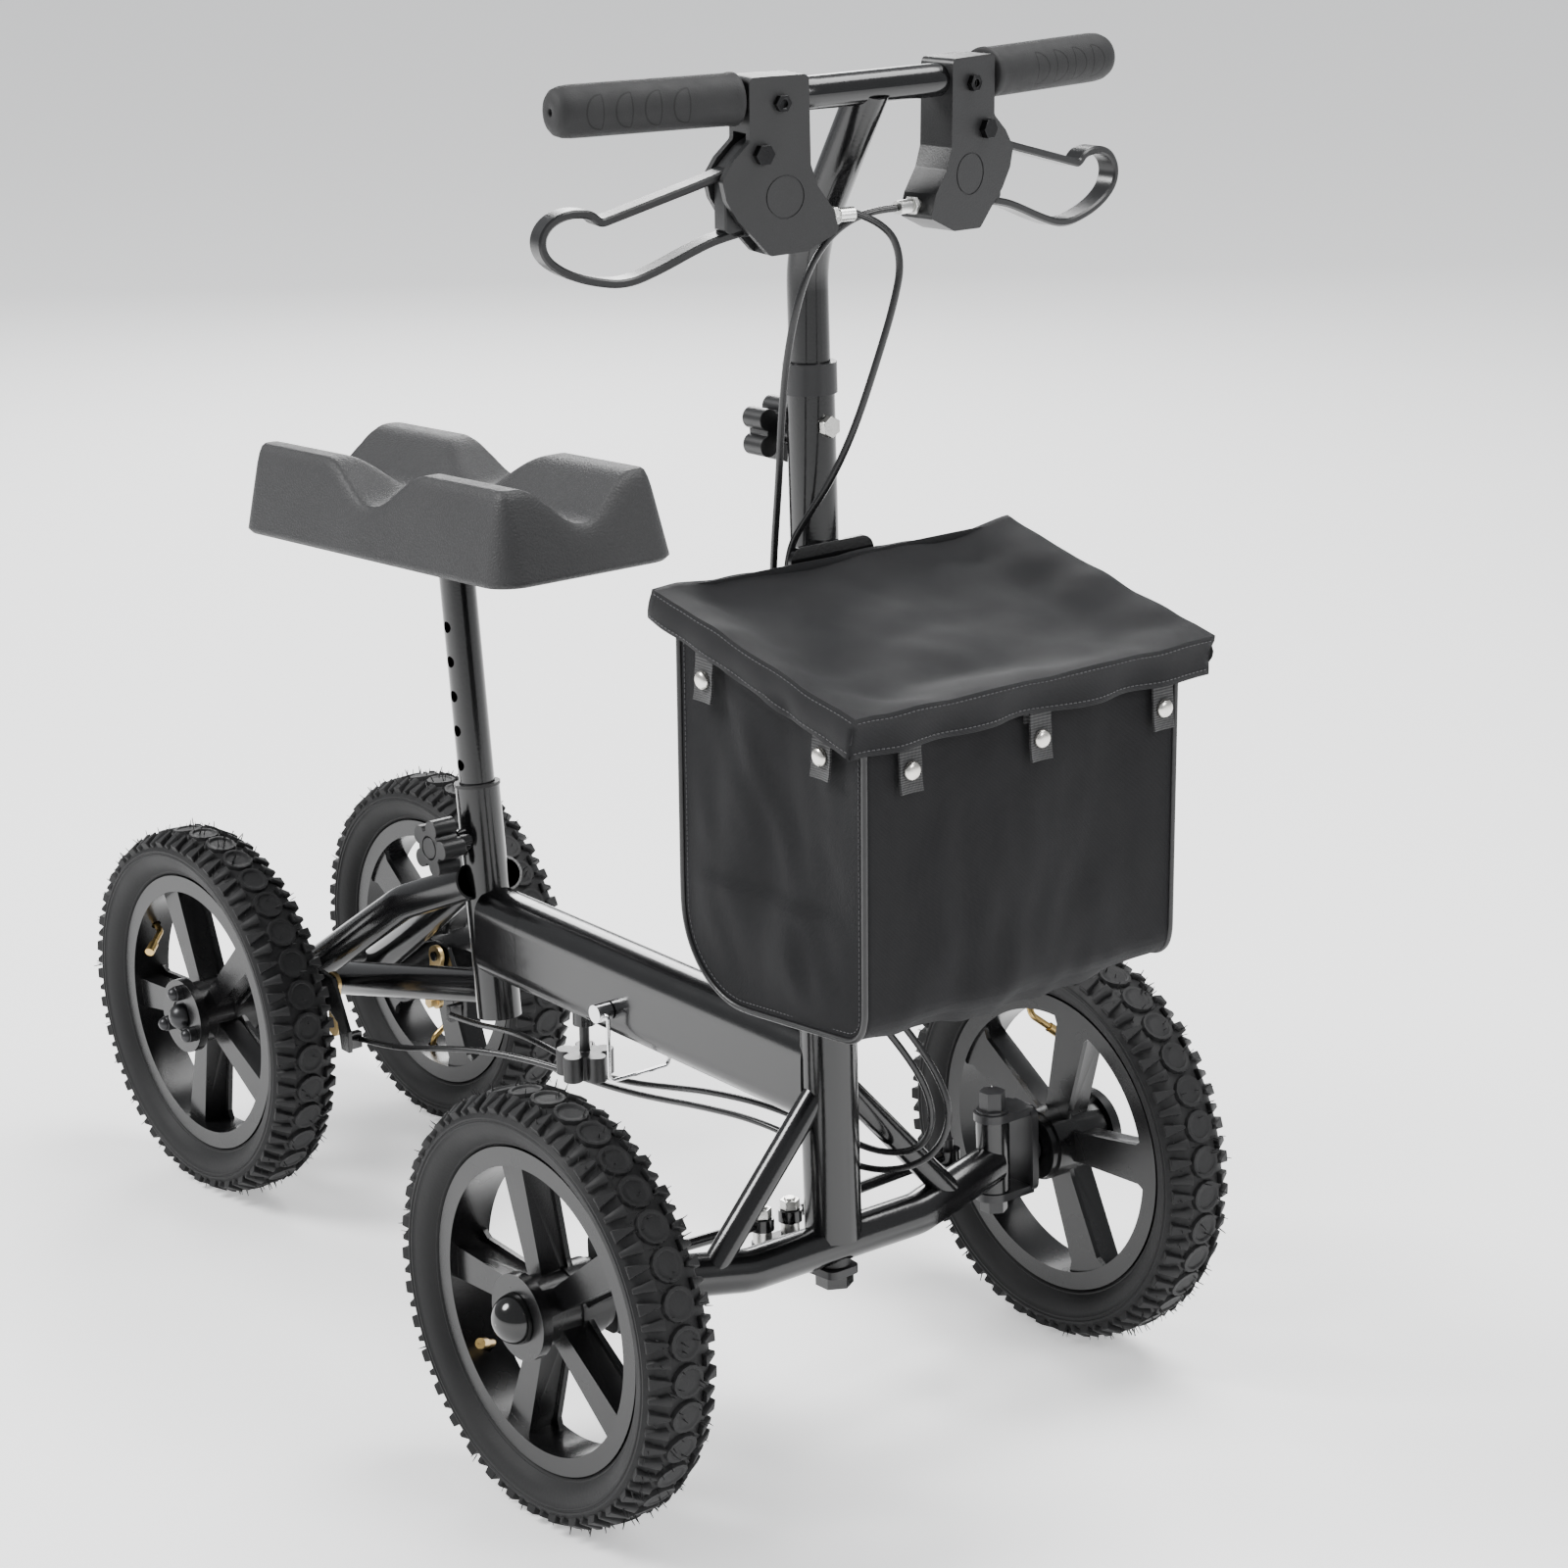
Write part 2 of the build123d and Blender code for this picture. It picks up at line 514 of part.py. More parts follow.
for stay_sign in SIDES.values():
    lower_stay -= bent(
        [(SEAT_TUBE_X - 10, stay_sign * 17, 302), (SEAT_TUBE_X - 88, stay_sign * 29, 268),
         (REAR_AXLE_X, stay_sign * 44, TYRE_RADIUS + 3)], 90.0, STAY_RADIUS)  # fmt: skip
save("rear_lower_stay", lower_stay.solids().sort_by(SortBy.VOLUME)[-1])

half_axle = REAR_TRACK / 2 + HUB_OUTER + 5
rear_axle = rod((REAR_AXLE_X, -half_axle, TYRE_RADIUS), (REAR_AXLE_X, half_axle, TYRE_RADIUS), REAR_AXLE_RADIUS)
for sign in SIDES.values():
    low = sign * (AXLE_TUBE_HALF + SLIP_GAP)
    journal_end = sign * (REAR_TRACK / 2 + HUB_OUTER - 0.4)
    rear_axle += rod((REAR_AXLE_X, low, TYRE_RADIUS), (REAR_AXLE_X, journal_end, TYRE_RADIUS), AXLE_RADIUS)
save("rear_axle", rear_axle)

for side, sign in SIDES.items():
    faces = sorted((sign * (BRAKE_ARM_Y - 2), sign * (BRAKE_ARM_Y + 2)))
    sheet = Plane(origin=(0, faces[1], 0), x_dir=(1, 0, 0), z_dir=(0, -1, 0))
    arm = sheet * (Pos(*BRAKE_PIVOT) * Circle(9) + Pos(*BRAKE_FOOT) * Circle(7))
    link = [
        (BRAKE_PIVOT[0] - 8, BRAKE_PIVOT[1]),
        (BRAKE_PIVOT[0] + 8, BRAKE_PIVOT[1]),
        (BRAKE_FOOT[0] + 6, BRAKE_FOOT[1]),
        (BRAKE_FOOT[0] - 6, BRAKE_FOOT[1]),
    ]
    arm_solid = extrude(arm + sheet * make_face(Polyline(*link, close=True)), 4, dir=(0, -1, 0))
    pivot_bore = rod((BRAKE_PIVOT[0], -90, BRAKE_PIVOT[1]), (BRAKE_PIVOT[0], 90, BRAKE_PIVOT[1]), 4.0 + TURN_GAP)
    pinch_low = (BRAKE_FOOT[0], sign * (BRAKE_ARM_Y - 9), BRAKE_FOOT[1])
    pinch_high = (BRAKE_FOOT[0], sign * (BRAKE_ARM_Y - 1), BRAKE_FOOT[1])
    save(f"brake_arm_{side}", arm_solid - pivot_bore + hexagon(pinch_low, pinch_high, 9))

# ---------------------------------------------------------------- knuckles, steering arm and tie rods
for side, sign in SIDES.items():
    u, y = kingpins[side]
    top = KINGPIN_HIGH + SLIP_GAP
    base = KINGPIN_LOW - SLIP_GAP
    outboard = sorted((y + sign * YOKE_REACH, y + sign * (YOKE_REACH + YOKE_SHEET)))
    cheek = block((u - 16, outboard[0], base - YOKE_SHEET), (u + 16, outboard[1], top + YOKE_SHEET))
    cheek = fillet(cheek.edges().filter_by(Axis.Y), 8)
    span = sorted((y, y + sign * (YOKE_REACH + 3)))
    yoke = cheek
    for level in (top, base - YOKE_SHEET):
        yoke += block((u - 14, span[0], level), (u + 14, span[1], level + YOKE_SHEET))
        yoke += rod((u, y, level), (u, y, level + YOKE_SHEET), 14)
    arm_tip = (u - ARM_BACK, y + sign * ARM_OUT)
    arm_line = make_face(
        Polyline(
            (u + 4, y - 12), (u + 4, y + 12), (arm_tip[0], arm_tip[1] + 8), (arm_tip[0], arm_tip[1] - 8), close=True
        )
    )
    level = base - YOKE_SHEET
    yoke += Pos(0, 0, level) * extrude(arm_line, YOKE_SHEET)
    yoke += rod((*arm_tip, level), (*arm_tip, level + YOKE_SHEET), 8)
    yoke += rod((*arm_tip, level), (*arm_tip, ROD_LEVEL + ROD_HEIGHT / 2 + 8), LINK_PIN_RADIUS)
    yoke -= rod((u, y, -80), (u, y, 80), KINGPIN_RADIUS + FIXED_GAP)
    knuckle = STEER.location * yoke
    stub_start = (FRONT_AXLE_X, y + sign * YOKE_REACH, TYRE_RADIUS)
    hub_face = FRONT_TRACK / 2 - HUB_INNER
    stub_end = (FRONT_AXLE_X, sign * (FRONT_TRACK / 2 + HUB_OUTER + 9), TYRE_RADIUS)
    knuckle += rod(stub_start, stub_end, AXLE_RADIUS)
    knuckle += rod(stub_start, (FRONT_AXLE_X, sign * (hub_face - SLIP_GAP), TYRE_RADIUS), 11)
    nut_low = (FRONT_AXLE_X, sign * (FRONT_TRACK / 2 + HUB_OUTER + 1), TYRE_RADIUS)
    nut_high = (FRONT_AXLE_X, sign * (FRONT_TRACK / 2 + HUB_OUTER + 8), TYRE_RADIUS)
    knuckle += hexagon(nut_low, nut_high, 18)
    bolt = rod((u, y, base - YOKE_SHEET - 8), (u, y, top + YOKE_SHEET + 4), KINGPIN_RADIUS)
    bolt += rod((u, y, top + YOKE_SHEET), (u, y, top + YOKE_SHEET + 2), 12)
    bolt += hexagon((u, y, top + YOKE_SHEET + 2), (u, y, top + YOKE_SHEET + 16), 17)
    nut = hexagon((u, y, base - YOKE_SHEET - 10), (u, y, base - YOKE_SHEET), 18)
    save(f"knuckle_{side}", knuckle, STEER.location * (bolt + nut))

arm_plate = make_face(
    Polyline(
        (14, -13), (14, 13), (-14, 16), (-ARM_BACK - 9, ARM_OUT + 7), (-ARM_BACK - 9, -ARM_OUT - 7), (-14, -16),
        close=True,
    )
)
steering_arm = Pos(0, 0, ARM_LEVEL) * extrude(fillet(arm_plate.vertices(), 6), ARM_THICK)
steering_arm -= rod((0, 0, -80), (0, 0, 0), SPINDLE_RADIUS + FIXED_GAP)
rod_low = ROD_LEVEL - ROD_HEIGHT / 2
rod_high = ROD_LEVEL + ROD_HEIGHT / 2
link_bolts = []
for side, sign in SIDES.items():
    spot = (-ARM_BACK, sign * ARM_OUT)
    steering_arm -= rod((*spot, -80), (*spot, 0), LINK_PIN_RADIUS + FIXED_GAP)
    bolt = rod((*spot, ARM_LEVEL - 2), (*spot, rod_high + 9), LINK_PIN_RADIUS)
    bolt += hexagon((*spot, ARM_LEVEL - 7), (*spot, ARM_LEVEL), 13)
    bolt += rod((*spot, ARM_LEVEL + ARM_THICK), (*spot, rod_low - SLIP_GAP), 7)
    bolt += hexagon((*spot, rod_high + SLIP_GAP), (*spot, rod_high + SLIP_GAP + 7), 13)
    link_bolts.append(STEER.location * bolt)
    far = (KINGPIN_U - ARM_BACK, sign * (KINGPIN_Y + ARM_OUT))
    tie = rod((*spot, rod_low), (*spot, rod_high), 9.0) + rod((*far, rod_low), (*far, rod_high), 9.0)
    tie += rod((*spot, ROD_LEVEL), (*far, ROD_LEVEL), 4.4)
    tie -= rod((*spot, -80), (*spot, 0), LINK_PIN_RADIUS + TURN_GAP)
    tie -= rod((*far, -80), (*far, 0), LINK_PIN_RADIUS + OPEN_PIVOT_GAP)
    save(f"tie_rod_{side}", STEER.location * tie)
save("steering_arm", STEER.location * steering_arm)

# ---------------------------------------------------------------- steering column
column = rod((0, 0, COLUMN_FOOT), (0, 0, COLUMN_TOP - 3), COLUMN_RADIUS)
column += rod((0, 0, ARM_LEVEL - 2), (0, 0, COLUMN_FOOT + 10), SPINDLE_RADIUS)
ring_low = HEAD_TUBE_TOP + BUSH_FLANGE + SLIP_GAP
column += rod((0, 0, ring_low), (0, 0, ring_low + 6), HEAD_TUBE_RADIUS)
column += hexagon((0, 0, ARM_LEVEL - 9), (0, 0, ARM_LEVEL), 24)
KNOB_LEVEL = 558.0
column += rod((0, 0, KNOB_LEVEL), (-COLUMN_RADIUS - 7, 0, KNOB_LEVEL), 9.0)
column -= rod((0, 0, COLUMN_FOOT + 14), (0, 0, COLUMN_TOP), STEM_RADIUS + TURN_GAP)
column -= rod((0, 0, KNOB_LEVEL), (-60, 0, KNOB_LEVEL), 4.0 + TURN_GAP)
BOLT_LEVEL = 567.0
column -= rod((0, 0, BOLT_LEVEL), (60, 0, BOLT_LEVEL), 4.0 + FIXED_GAP)
save("steering_column", STEER.location * column)
collar = rod((0, 0, COLUMN_TOP - 21), (0, 0, COLUMN_TOP), COLUMN_RADIUS + 1.8)
collar -= rod((0, 0, COLUMN_TOP - 30), (0, 0, COLUMN_TOP - 3), COLUMN_RADIUS + FIXED_GAP)
collar -= rod((0, 0, COLUMN_TOP - 30), (0, 0, COLUMN_TOP + 5), STEM_RADIUS + TURN_GAP)
save("column_collar", STEER.location * collar)

# Bracket plate: welded across the front of the column, with two holes in its exposed top
plate_face = PLATE_HIGH - PLATE_LOW
plate = block((COLUMN_RADIUS - 0.6, -PLATE_HALF, PLATE_LOW), (COLUMN_RADIUS + 3, PLATE_HALF, PLATE_HIGH))
plate = fillet(plate.edges().filter_by(Axis.X), 10)
plate -= rod((0, 0, PLATE_LOW - 5), (0, 0, PLATE_HIGH + 5), COLUMN_RADIUS)
bracket = STEER.location * plate
for sign in SIDES.values():
    bracket -= rod((HEAD_X - 60, sign * PLATE_HOLE_Y, PLATE_HOLE_Z), (HEAD_X + 60, sign * PLATE_HOLE_Y, PLATE_HOLE_Z),
                   PLATE_HOLE_RADIUS)  # fmt: skip

# Hoop: a flat bar bent into a rectangle that dips forward, with a tab bolted to the plate
hoop_length = (HOOP_FRONT_X - HOOP_REAR_X) / math.cos(math.radians(BAG_TILT))
HOOP = Plane(
    origin=(HOOP_REAR_X, 0, HOOP_Z),
    x_dir=(math.cos(math.radians(BAG_TILT)), 0, -math.sin(math.radians(BAG_TILT))),
    z_dir=(math.sin(math.radians(BAG_TILT)), 0, math.cos(math.radians(BAG_TILT))),
)
outer_ring = Pos(hoop_length / 2, 0) * RectangleRounded(hoop_length, 2 * HOOP_HALF, 12)
inner_ring = Pos(hoop_length / 2, 0) * RectangleRounded(
    hoop_length - 2 * HOOP_SHEET, 2 * (HOOP_HALF - HOOP_SHEET), 12 - HOOP_SHEET
)
hoop = HOOP.location * extrude(outer_ring - inner_ring, HOOP_HEIGHT / 2, both=True)
plate_front = STEER.from_local_coords(Vector(COLUMN_RADIUS + 3, 0, 445))
tab = block((COLUMN_RADIUS + 3, -24, 438), (COLUMN_RADIUS + 16, 24, 455))
hoop += (STEER.location * tab) & block(
    (FRONT_AXLE_X, -30, HOOP_Z - 20), (HOOP_REAR_X + HOOP_SHEET - 0.5, 30, HOOP_Z + 6)
)
hoop = hoop.solids().sort_by(SortBy.VOLUME)[-1]
tab_bolts = []
for sign in SIDES.values():
    low, high = (12.5, sign * 20, 445), (HOOP_REAR_X - HEAD_X + 20, sign * 20, 445)
    bolt = rod(low, (30, sign * 20, 445), 2.5) + hexagon((12.5, sign * 20, 445), (15.8, sign * 20, 445), 8)
    shank_hole = STEER.location * rod((5, sign * 20, 445), (40, sign * 20, 445), 2.5 + FIXED_GAP)
    bracket -= shank_hole
    hoop -= shank_hole
    trim = block((FRONT_AXLE_X, -40, 560), (HOOP_REAR_X + HOOP_SHEET + 1, 40, 640))
    tab_bolts.append((STEER.location * bolt) & trim)
save("basket_bracket", bracket)
save("basket_hoop", hoop)
clamp_bolt = rod((STEM_RADIUS + SLIP_GAP, 0, BOLT_LEVEL), (COLUMN_RADIUS + 2, 0, BOLT_LEVEL), 4.0)
clamp_bolt += hexagon((COLUMN_RADIUS + 0.2, 0, BOLT_LEVEL), (COLUMN_RADIUS + 6, 0, BOLT_LEVEL), 13)
save("column_bolts", STEER.location * clamp_bolt, *link_bolts, *tab_bolts)

# ---------------------------------------------------------------- bag, lid and snaps
rim_drop = HOOP_HEIGHT / 2 + 3
tilt = math.tan(math.radians(BAG_TILT))


def rim_z(x):
    """Height of the bag's mouth, just under the hoop."""
    return HOOP_Z - rim_drop - (x - HOOP_REAR_X) * tilt


def bag_block(inset, top_extra):
    """The bag's outer or inner form: a side outline with a round belly, drawn across Y."""
    rear, front, low = BAG_REAR_X + inset, BAG_FRONT_X - inset, BAG_BOTTOM + inset
    outline = make_face(
        Polyline(
            (rear, low),
            (front, low + 10),
            (front, rim_z(front) + top_extra),
            (rear, rim_z(rear) + top_extra),
            close=True,
        )
    )
    front_corner = outline.vertices().sort_by(Axis.Y)[:2].sort_by(Axis.X)[-1]
    outline = fillet(front_corner, 18 - inset)
    outline = fillet(outline.vertices().sort_by(Axis.Y)[0], 62 - inset)
    half = BAG_HALF - inset
    sheet = Plane(origin=(0, half, 0), x_dir=(1, 0, 0), z_dir=(0, -1, 0))
    return extrude(sheet * outline, 2 * half, dir=(0, -1, 0))


bag = bag_block(0, 0) - bag_block(BAG_SHEET, 30)
back_panel = block(
    (BAG_REAR_X, -BAG_HALF, rim_z(BAG_REAR_X) - 8), (BAG_REAR_X + BAG_SHEET, BAG_HALF, LID_Z - 3.2)
)
tab_slot = block((BAG_REAR_X - 5, -27, HOOP_Z - 22), (BAG_REAR_X + 5, 27, HOOP_Z + 12))
save("basket_bag", bag + back_panel - tab_slot)

LID = Plane(
    origin=(BAG_REAR_X - 1, 0, LID_Z),
    x_dir=(math.cos(math.radians(BAG_TILT + 1)), 0, -math.sin(math.radians(BAG_TILT + 1))),
    z_dir=(math.sin(math.radians(BAG_TILT + 1)), 0, math.cos(math.radians(BAG_TILT + 1))),
)
lid_length = (LID_FRONT_X - BAG_REAR_X + 1) / math.cos(math.radians(BAG_TILT + 1))
lid = block((0, -LID_HALF, -LID_SKIRT), (lid_length, LID_HALF, 0))
lid -= block((-5, -LID_HALF + BAG_SHEET, -LID_SKIRT - 1), (lid_length - BAG_SHEET, LID_HALF - BAG_SHEET, -BAG_SHEET))
save("bag_lid", LID.location * lid)

# Webbing tabs that hang from the hoop, each with its snap button
TAB_WIDTH = 18.0
TAB_DROP = 36.0
tabs = []
side_spots = (0.16, 0.8)
front_spots = (-100.0, 10.0, 119.0)
for sign in SIDES.values():
    for share in side_spots:
        x = HOOP_REAR_X + share * (HOOP_FRONT_X - HOOP_REAR_X)
        level = HOOP_Z - (x - HOOP_REAR_X) * tilt
        y = sign * (HOOP_HALF + SLIP_GAP)
        faces = sorted((y, y + sign * 1.6))
        tab = block((x - TAB_WIDTH / 2, faces[0], level - TAB_DROP), (x + TAB_WIDTH / 2, faces[1], level + 6))
        tabs.append(tab + rod((x, y, level - 24), (x, y + sign * 5, level - 24), 6.5))
for y in front_spots:
    x = HOOP_FRONT_X + SLIP_GAP
    level = HOOP_Z - (x - HOOP_REAR_X) * tilt
    tab = block((x, y - TAB_WIDTH / 2, level - TAB_DROP), (x + 1.6, y + TAB_WIDTH / 2, level - 1))
    tabs.append(tab + rod((x, y, level - 24), (x + 5, y, level - 24), 6.5))
save("bag_snaps", *tabs)

# ---------------------------------------------------------------- stem, handlebar and grips
stem_foot = STEER.from_local_coords(Vector(0, 0, STEM_FOOT))
stem_bend_x = HEAD_X - (STEM_BEND_Z - HEAD_Z) * math.tan(math.radians(LEAN))
stem_points = [(stem_foot.X, 0, stem_foot.Z), (stem_bend_x, 0, STEM_BEND_Z), (BAR_X, 0, BAR_Z)]
bar_core = rod((BAR_X, -40, BAR_Z), (BAR_X, 40, BAR_Z), BAR_RADIUS)
stem = bent(stem_points, 90.0, STEM_RADIUS) - bent(stem_points, 90.0, STEM_RADIUS - 2) - bar_core
stem = stem.solids().sort_by(SortBy.VOLUME)[-1]
save("stem_tube", stem)

sweep_back = math.radians(BAR_SWEEP)


def lever_plane(sign):
    """Frame of one half of the bar: X outward along the grip, Y up, Z across the levers."""
    return Plane(
        origin=(BAR_X, sign * BAR_BEND_Y, BAR_Z),
        x_dir=(-math.sin(sweep_back), sign * math.cos(sweep_back), 0),
        z_dir=(sign * math.cos(sweep_back), math.sin(sweep_back), 0),
    )


bar_end = GRIP_END - 5
tips = [lever_plane(sign).from_local_coords(Vector(bar_end, 0, 0)) for sign in (-1, 1)]
bar_points = [tips[0], (BAR_X, -BAR_BEND_Y, BAR_Z), (BAR_X, BAR_BEND_Y, BAR_Z), tips[1]]
save("handlebar", bent(bar_points, 40.0, BAR_RADIUS) - bent(bar_points, 40.0, BAR_RADIUS - BAR_WALL))

HOUSING_OUTLINE = [
    (6, 14), (49, 14), (49, -26), (61, -37), (69, -49), (66, -62), (58, -75), (46, -87), (35, -99), (8, -98),
    (-16, -87), (-11, -72), (0, -57), (5, -43),
]  # fmt: skip
LEVER_OUTLINE = [
    (29, -34), (40, -23), (56, -37), (78, -47), (150, -66), (162, -60), (181, -66), (194, -80), (184, -96),
    (160, -107), (133, -112), (85, -95), (56, -86), (42, -86), (32, -60),
]  # fmt: skip
LEVER_GAP = [
    (64, -49), (78, -53), (150, -72), (163, -66.5), (178, -71.5), (187, -80.5), (180, -91), (158, -101), (133, -106),
    (88, -89.5), (64, -80),
]  # fmt: skip
grips, housings, hardware = [], [], []
for side, sign in SIDES.items():
    frame = lever_plane(sign).location
    front = sign
    grip = rod((GRIP_START, 0, 0), (GRIP_END, 0, 0), GRIP_RADIUS)
    grip = fillet(grip.edges().sort_by(Axis.X)[-1], 9)
    grip -= rod((GRIP_START - 1, 0, 0), (bar_end + 0.5, 0, 0), BAR_RADIUS + FIXED_GAP)
    grip -= rod((0, 0, 0), (300, 0, 0), 2.0)
    grips.append(frame * grip)

    housing = extrude(profile(HOUSING_OUTLINE, 4), HOUSING_THICK / 2, both=True)
    slot = make_face(Polyline((26, -21), (80, -21), (80, -112), (38, -112), (26, -60), close=True))
    housing -= extrude(slot, SLOT_WIDTH / 2, both=True)
    housing -= rod((-20, 0, 0), (80, 0, 0), BAR_RADIUS + FIXED_GAP)
    housing -= rod((*LEVER_PIVOT, -30), (*LEVER_PIVOT, 30), LEVER_BOLT_RADIUS + FIXED_GAP)
    housing -= rod((26, -3, 0), (26, -3, front * 30), 3.0 + FIXED_GAP)
    housing -= rod((-40, ADJUSTER_LEVEL, 0), (40, ADJUSTER_LEVEL, 0), 3.0 + FIXED_GAP)
    face_z = front * HOUSING_THICK / 2
    groove = Pos(24, -62, face_z) * (Cylinder(14.0, 1.2) - Cylinder(13.0, 1.2))
    housings.append(frame * (housing - groove))

    pivot_bolt = rod((*LEVER_PIVOT, face_z + front * 1), (*LEVER_PIVOT, -face_z - front * 5), LEVER_BOLT_RADIUS)
    pivot_bolt += hexagon((*LEVER_PIVOT, face_z), (*LEVER_PIVOT, face_z + front * 5), 12)
    pivot_bolt += hexagon((*LEVER_PIVOT, -face_z), (*LEVER_PIVOT, -face_z - front * 5), 12)
    set_screw = rod((26, -3, front * (BAR_RADIUS + 0.2)), (26, -3, face_z + front * 2), 3.0)
    set_screw += hexagon((26, -3, face_z), (26, -3, face_z + front * 4), 10)
    set_screw -= rod((26, -3, face_z + front * 1.5), (26, -3, face_z + front * 6), 2.6)
    adjuster = rod((2, ADJUSTER_LEVEL, 0), (ADJUSTER_END, ADJUSTER_LEVEL, 0), 3.0)
    adjuster += hexagon((-17.5, ADJUSTER_LEVEL, 0), (-21, ADJUSTER_LEVEL, 0), 11)
    adjuster += rod((-22.5, ADJUSTER_LEVEL, 0), (ADJUSTER_END, ADJUSTER_LEVEL, 0), 4.6)
    hardware += [frame * pivot_bolt, frame * set_screw, frame * adjuster]

    lever = extrude(profile(LEVER_OUTLINE, 3.5) - profile(LEVER_GAP, 2.5), LEVER_WIDTH / 2, both=True)
    lever -= rod((*LEVER_PIVOT, -30), (*LEVER_PIVOT, 30), LEVER_BOLT_RADIUS + TURN_GAP)
    save(f"brake_lever_{side}", frame * lever)
save("grips", *grips)
save("lever_housings", *housings)
save("lever_hardware", *hardware)

# ---------------------------------------------------------------- knobs, lock pin and bail
KNOB_DEPTH = 20.0
column_stud = rod((-STEM_RADIUS - SLIP_GAP, 0, KNOB_LEVEL), (-32, 0, KNOB_LEVEL), 4.0)
column_knob = Plane(origin=(-30, 0, KNOB_LEVEL), x_dir=(0, 1, 0), z_dir=(-1, 0, 0)).location * star_knob(KNOB_DEPTH)
save("column_knob", STEER.location * (column_knob + column_stud))
seat_stud = rod((0, -POST_RADIUS - SLIP_GAP, SEAT_KNOB_LEVEL), (0, -32, SEAT_KNOB_LEVEL), 4.0)
seat_knob = Plane(origin=(0, -30, SEAT_KNOB_LEVEL), x_dir=(1, 0, 0), z_dir=(0, -1, 0)).location * star_knob(KNOB_DEPTH)
save("seat_knob", SEAT.location * (seat_knob + seat_stud))
spigot_low = MAIN_LEVEL - spigot_height / 2
tube_stud = rod((TUBE_KNOB_X, 0, TUBE_KNOB_Z + 5), (TUBE_KNOB_X, 0, spigot_low - SLIP_GAP), 4.0)
tube_knob = Pos(TUBE_KNOB_X, 0, TUBE_KNOB_Z + KNOB_DEPTH) * Rot(180, 0, 0) * star_knob(KNOB_DEPTH)
save("tube_knob", tube_knob + tube_stud)

pin_head = -MAIN_WIDTH / 2 - 8
pin_tip = MAIN_WIDTH / 2 + 8
lock_pin = rod((PIN_X, pin_head, PIN_Z), (PIN_X, pin_tip, PIN_Z), PIN_RADIUS)
lock_pin += rod((PIN_X, pin_head - 6, PIN_Z), (PIN_X, -MAIN_WIDTH / 2 - 1, PIN_Z), 7.0)
bail_y = pin_head - 1
lock_pin -= rod((PIN_X - 20, bail_y, PIN_Z), (PIN_X + 20, bail_y, PIN_Z), BAIL_WIRE + TURN_GAP)
save("lock_pin", lock_pin)
bail_low = PIN_Z - BAIL_DROP
bail_points = [
    (PIN_X - 6.5, bail_y, PIN_Z),
    (PIN_X + 10.5, bail_y, PIN_Z),
    (PIN_X + 10.5, bail_y, bail_low),
    (PIN_X + 10.5, pin_tip - 3, bail_low),
    (PIN_X + 10.5, pin_tip - 3, PIN_Z + 6),
]
save("pin_bail", bent(bail_points, [3.0, 5.0, 5.0], BAIL_WIRE))

# ---------------------------------------------------------------- knee pad and its post
post_axis_top = (PAD_Z - SEAT_TUBE_Z) / math.cos(math.radians(SEAT_LEAN))
plate_under = PAD.location * Pos(0, 0, -PLATE_THICK / 2) * Box(190, 96, PLATE_THICK)
post_long = rod((0, 0, POST_FOOT), (0, 0, post_axis_top + 30), POST_RADIUS)
post_long -= rod((0, 0, POST_FOOT), (0, 0, post_axis_top + 30), POST_RADIUS - POST_WALL)
for step in range(5):
    level = 205 + HOLE_PITCH * step
    post_long -= rod((0, 0, level), (0, -40, level), 4.5)
below_plate = PAD.location * Pos(0, 0, -PLATE_THICK / 2 - 250) * Box(600, 200, 500)
screw_spots = [(x, y) for x in (-70, 70) for y in (-34, 34)]
post = (SEAT.location * post_long) & below_plate
post = post.solids().sort_by(SortBy.VOLUME)[-1] + plate_under
pad_base = RectangleRounded(PAD_LENGTH, PAD_WIDTH, 16)
pad = extrude(pad_base, PAD_HEIGHT, taper=12)
pad -= Pos(0, 0, PAD_VALLEY + 52) * Rot(0, 90, 0) * Cylinder(52, PAD_LENGTH + 40)
pad -= Pos(0, 0, PAD_CROSS_VALLEY + 84) * Rot(90, 0, 0) * Cylinder(84, PAD_WIDTH + 40)
screws = []
for x, y in screw_spots:
    post -= PAD.location * rod((x, y, -20), (x, y, 5), 3.0 + FIXED_GAP)
    pad -= rod((x, y, -5), (x, y, 12.3), 3.0 + FIXED_GAP)
    screws.append(PAD.location * (rod((x, y, -PLATE_THICK - 3), (x, y, 12), 3.0)
                                  + hexagon((x, y, -PLATE_THICK - 4), (x, y, -PLATE_THICK), 10)))  # fmt: skip
save("seat_post", post)
save("knee_pad", PAD.location * pad)
save("seat_screws", *screws)

# ---------------------------------------------------------------- brake cables
# Each cable is split beside the column: the upper half follows the tiller's height, and the lower
# half follows the steering. Points are (x, y, z) with x measured from the front axle.
UPPER_ROUTES = {
    "right": [
        (61.8, -16.7, 878), (68.5, 4, 870), (73, 13, 846), (70, 8, 816), (61, 0, 776), (50, -8, 735), (37, -17, 700),
        (22, -26, 673), (9, -31, 652), (5, -32, 625), (4, -32, 585), (4, -31, 531), (3, -30, 480.4),
    ],
    "left": [
        (61.7, 16.8, 878), (58, -3, 878), (52, -25, 868), (48, -43, 848), (42, -51, 818), (31, -51, 780),
        (22, -48, 740), (15, -45, 700), (7, -42, 664), (0, -39, 632), (-3, -37, 590), (-5, -36, 535),
        (-6, -35, 480.4),
    ],
}  # fmt: skip
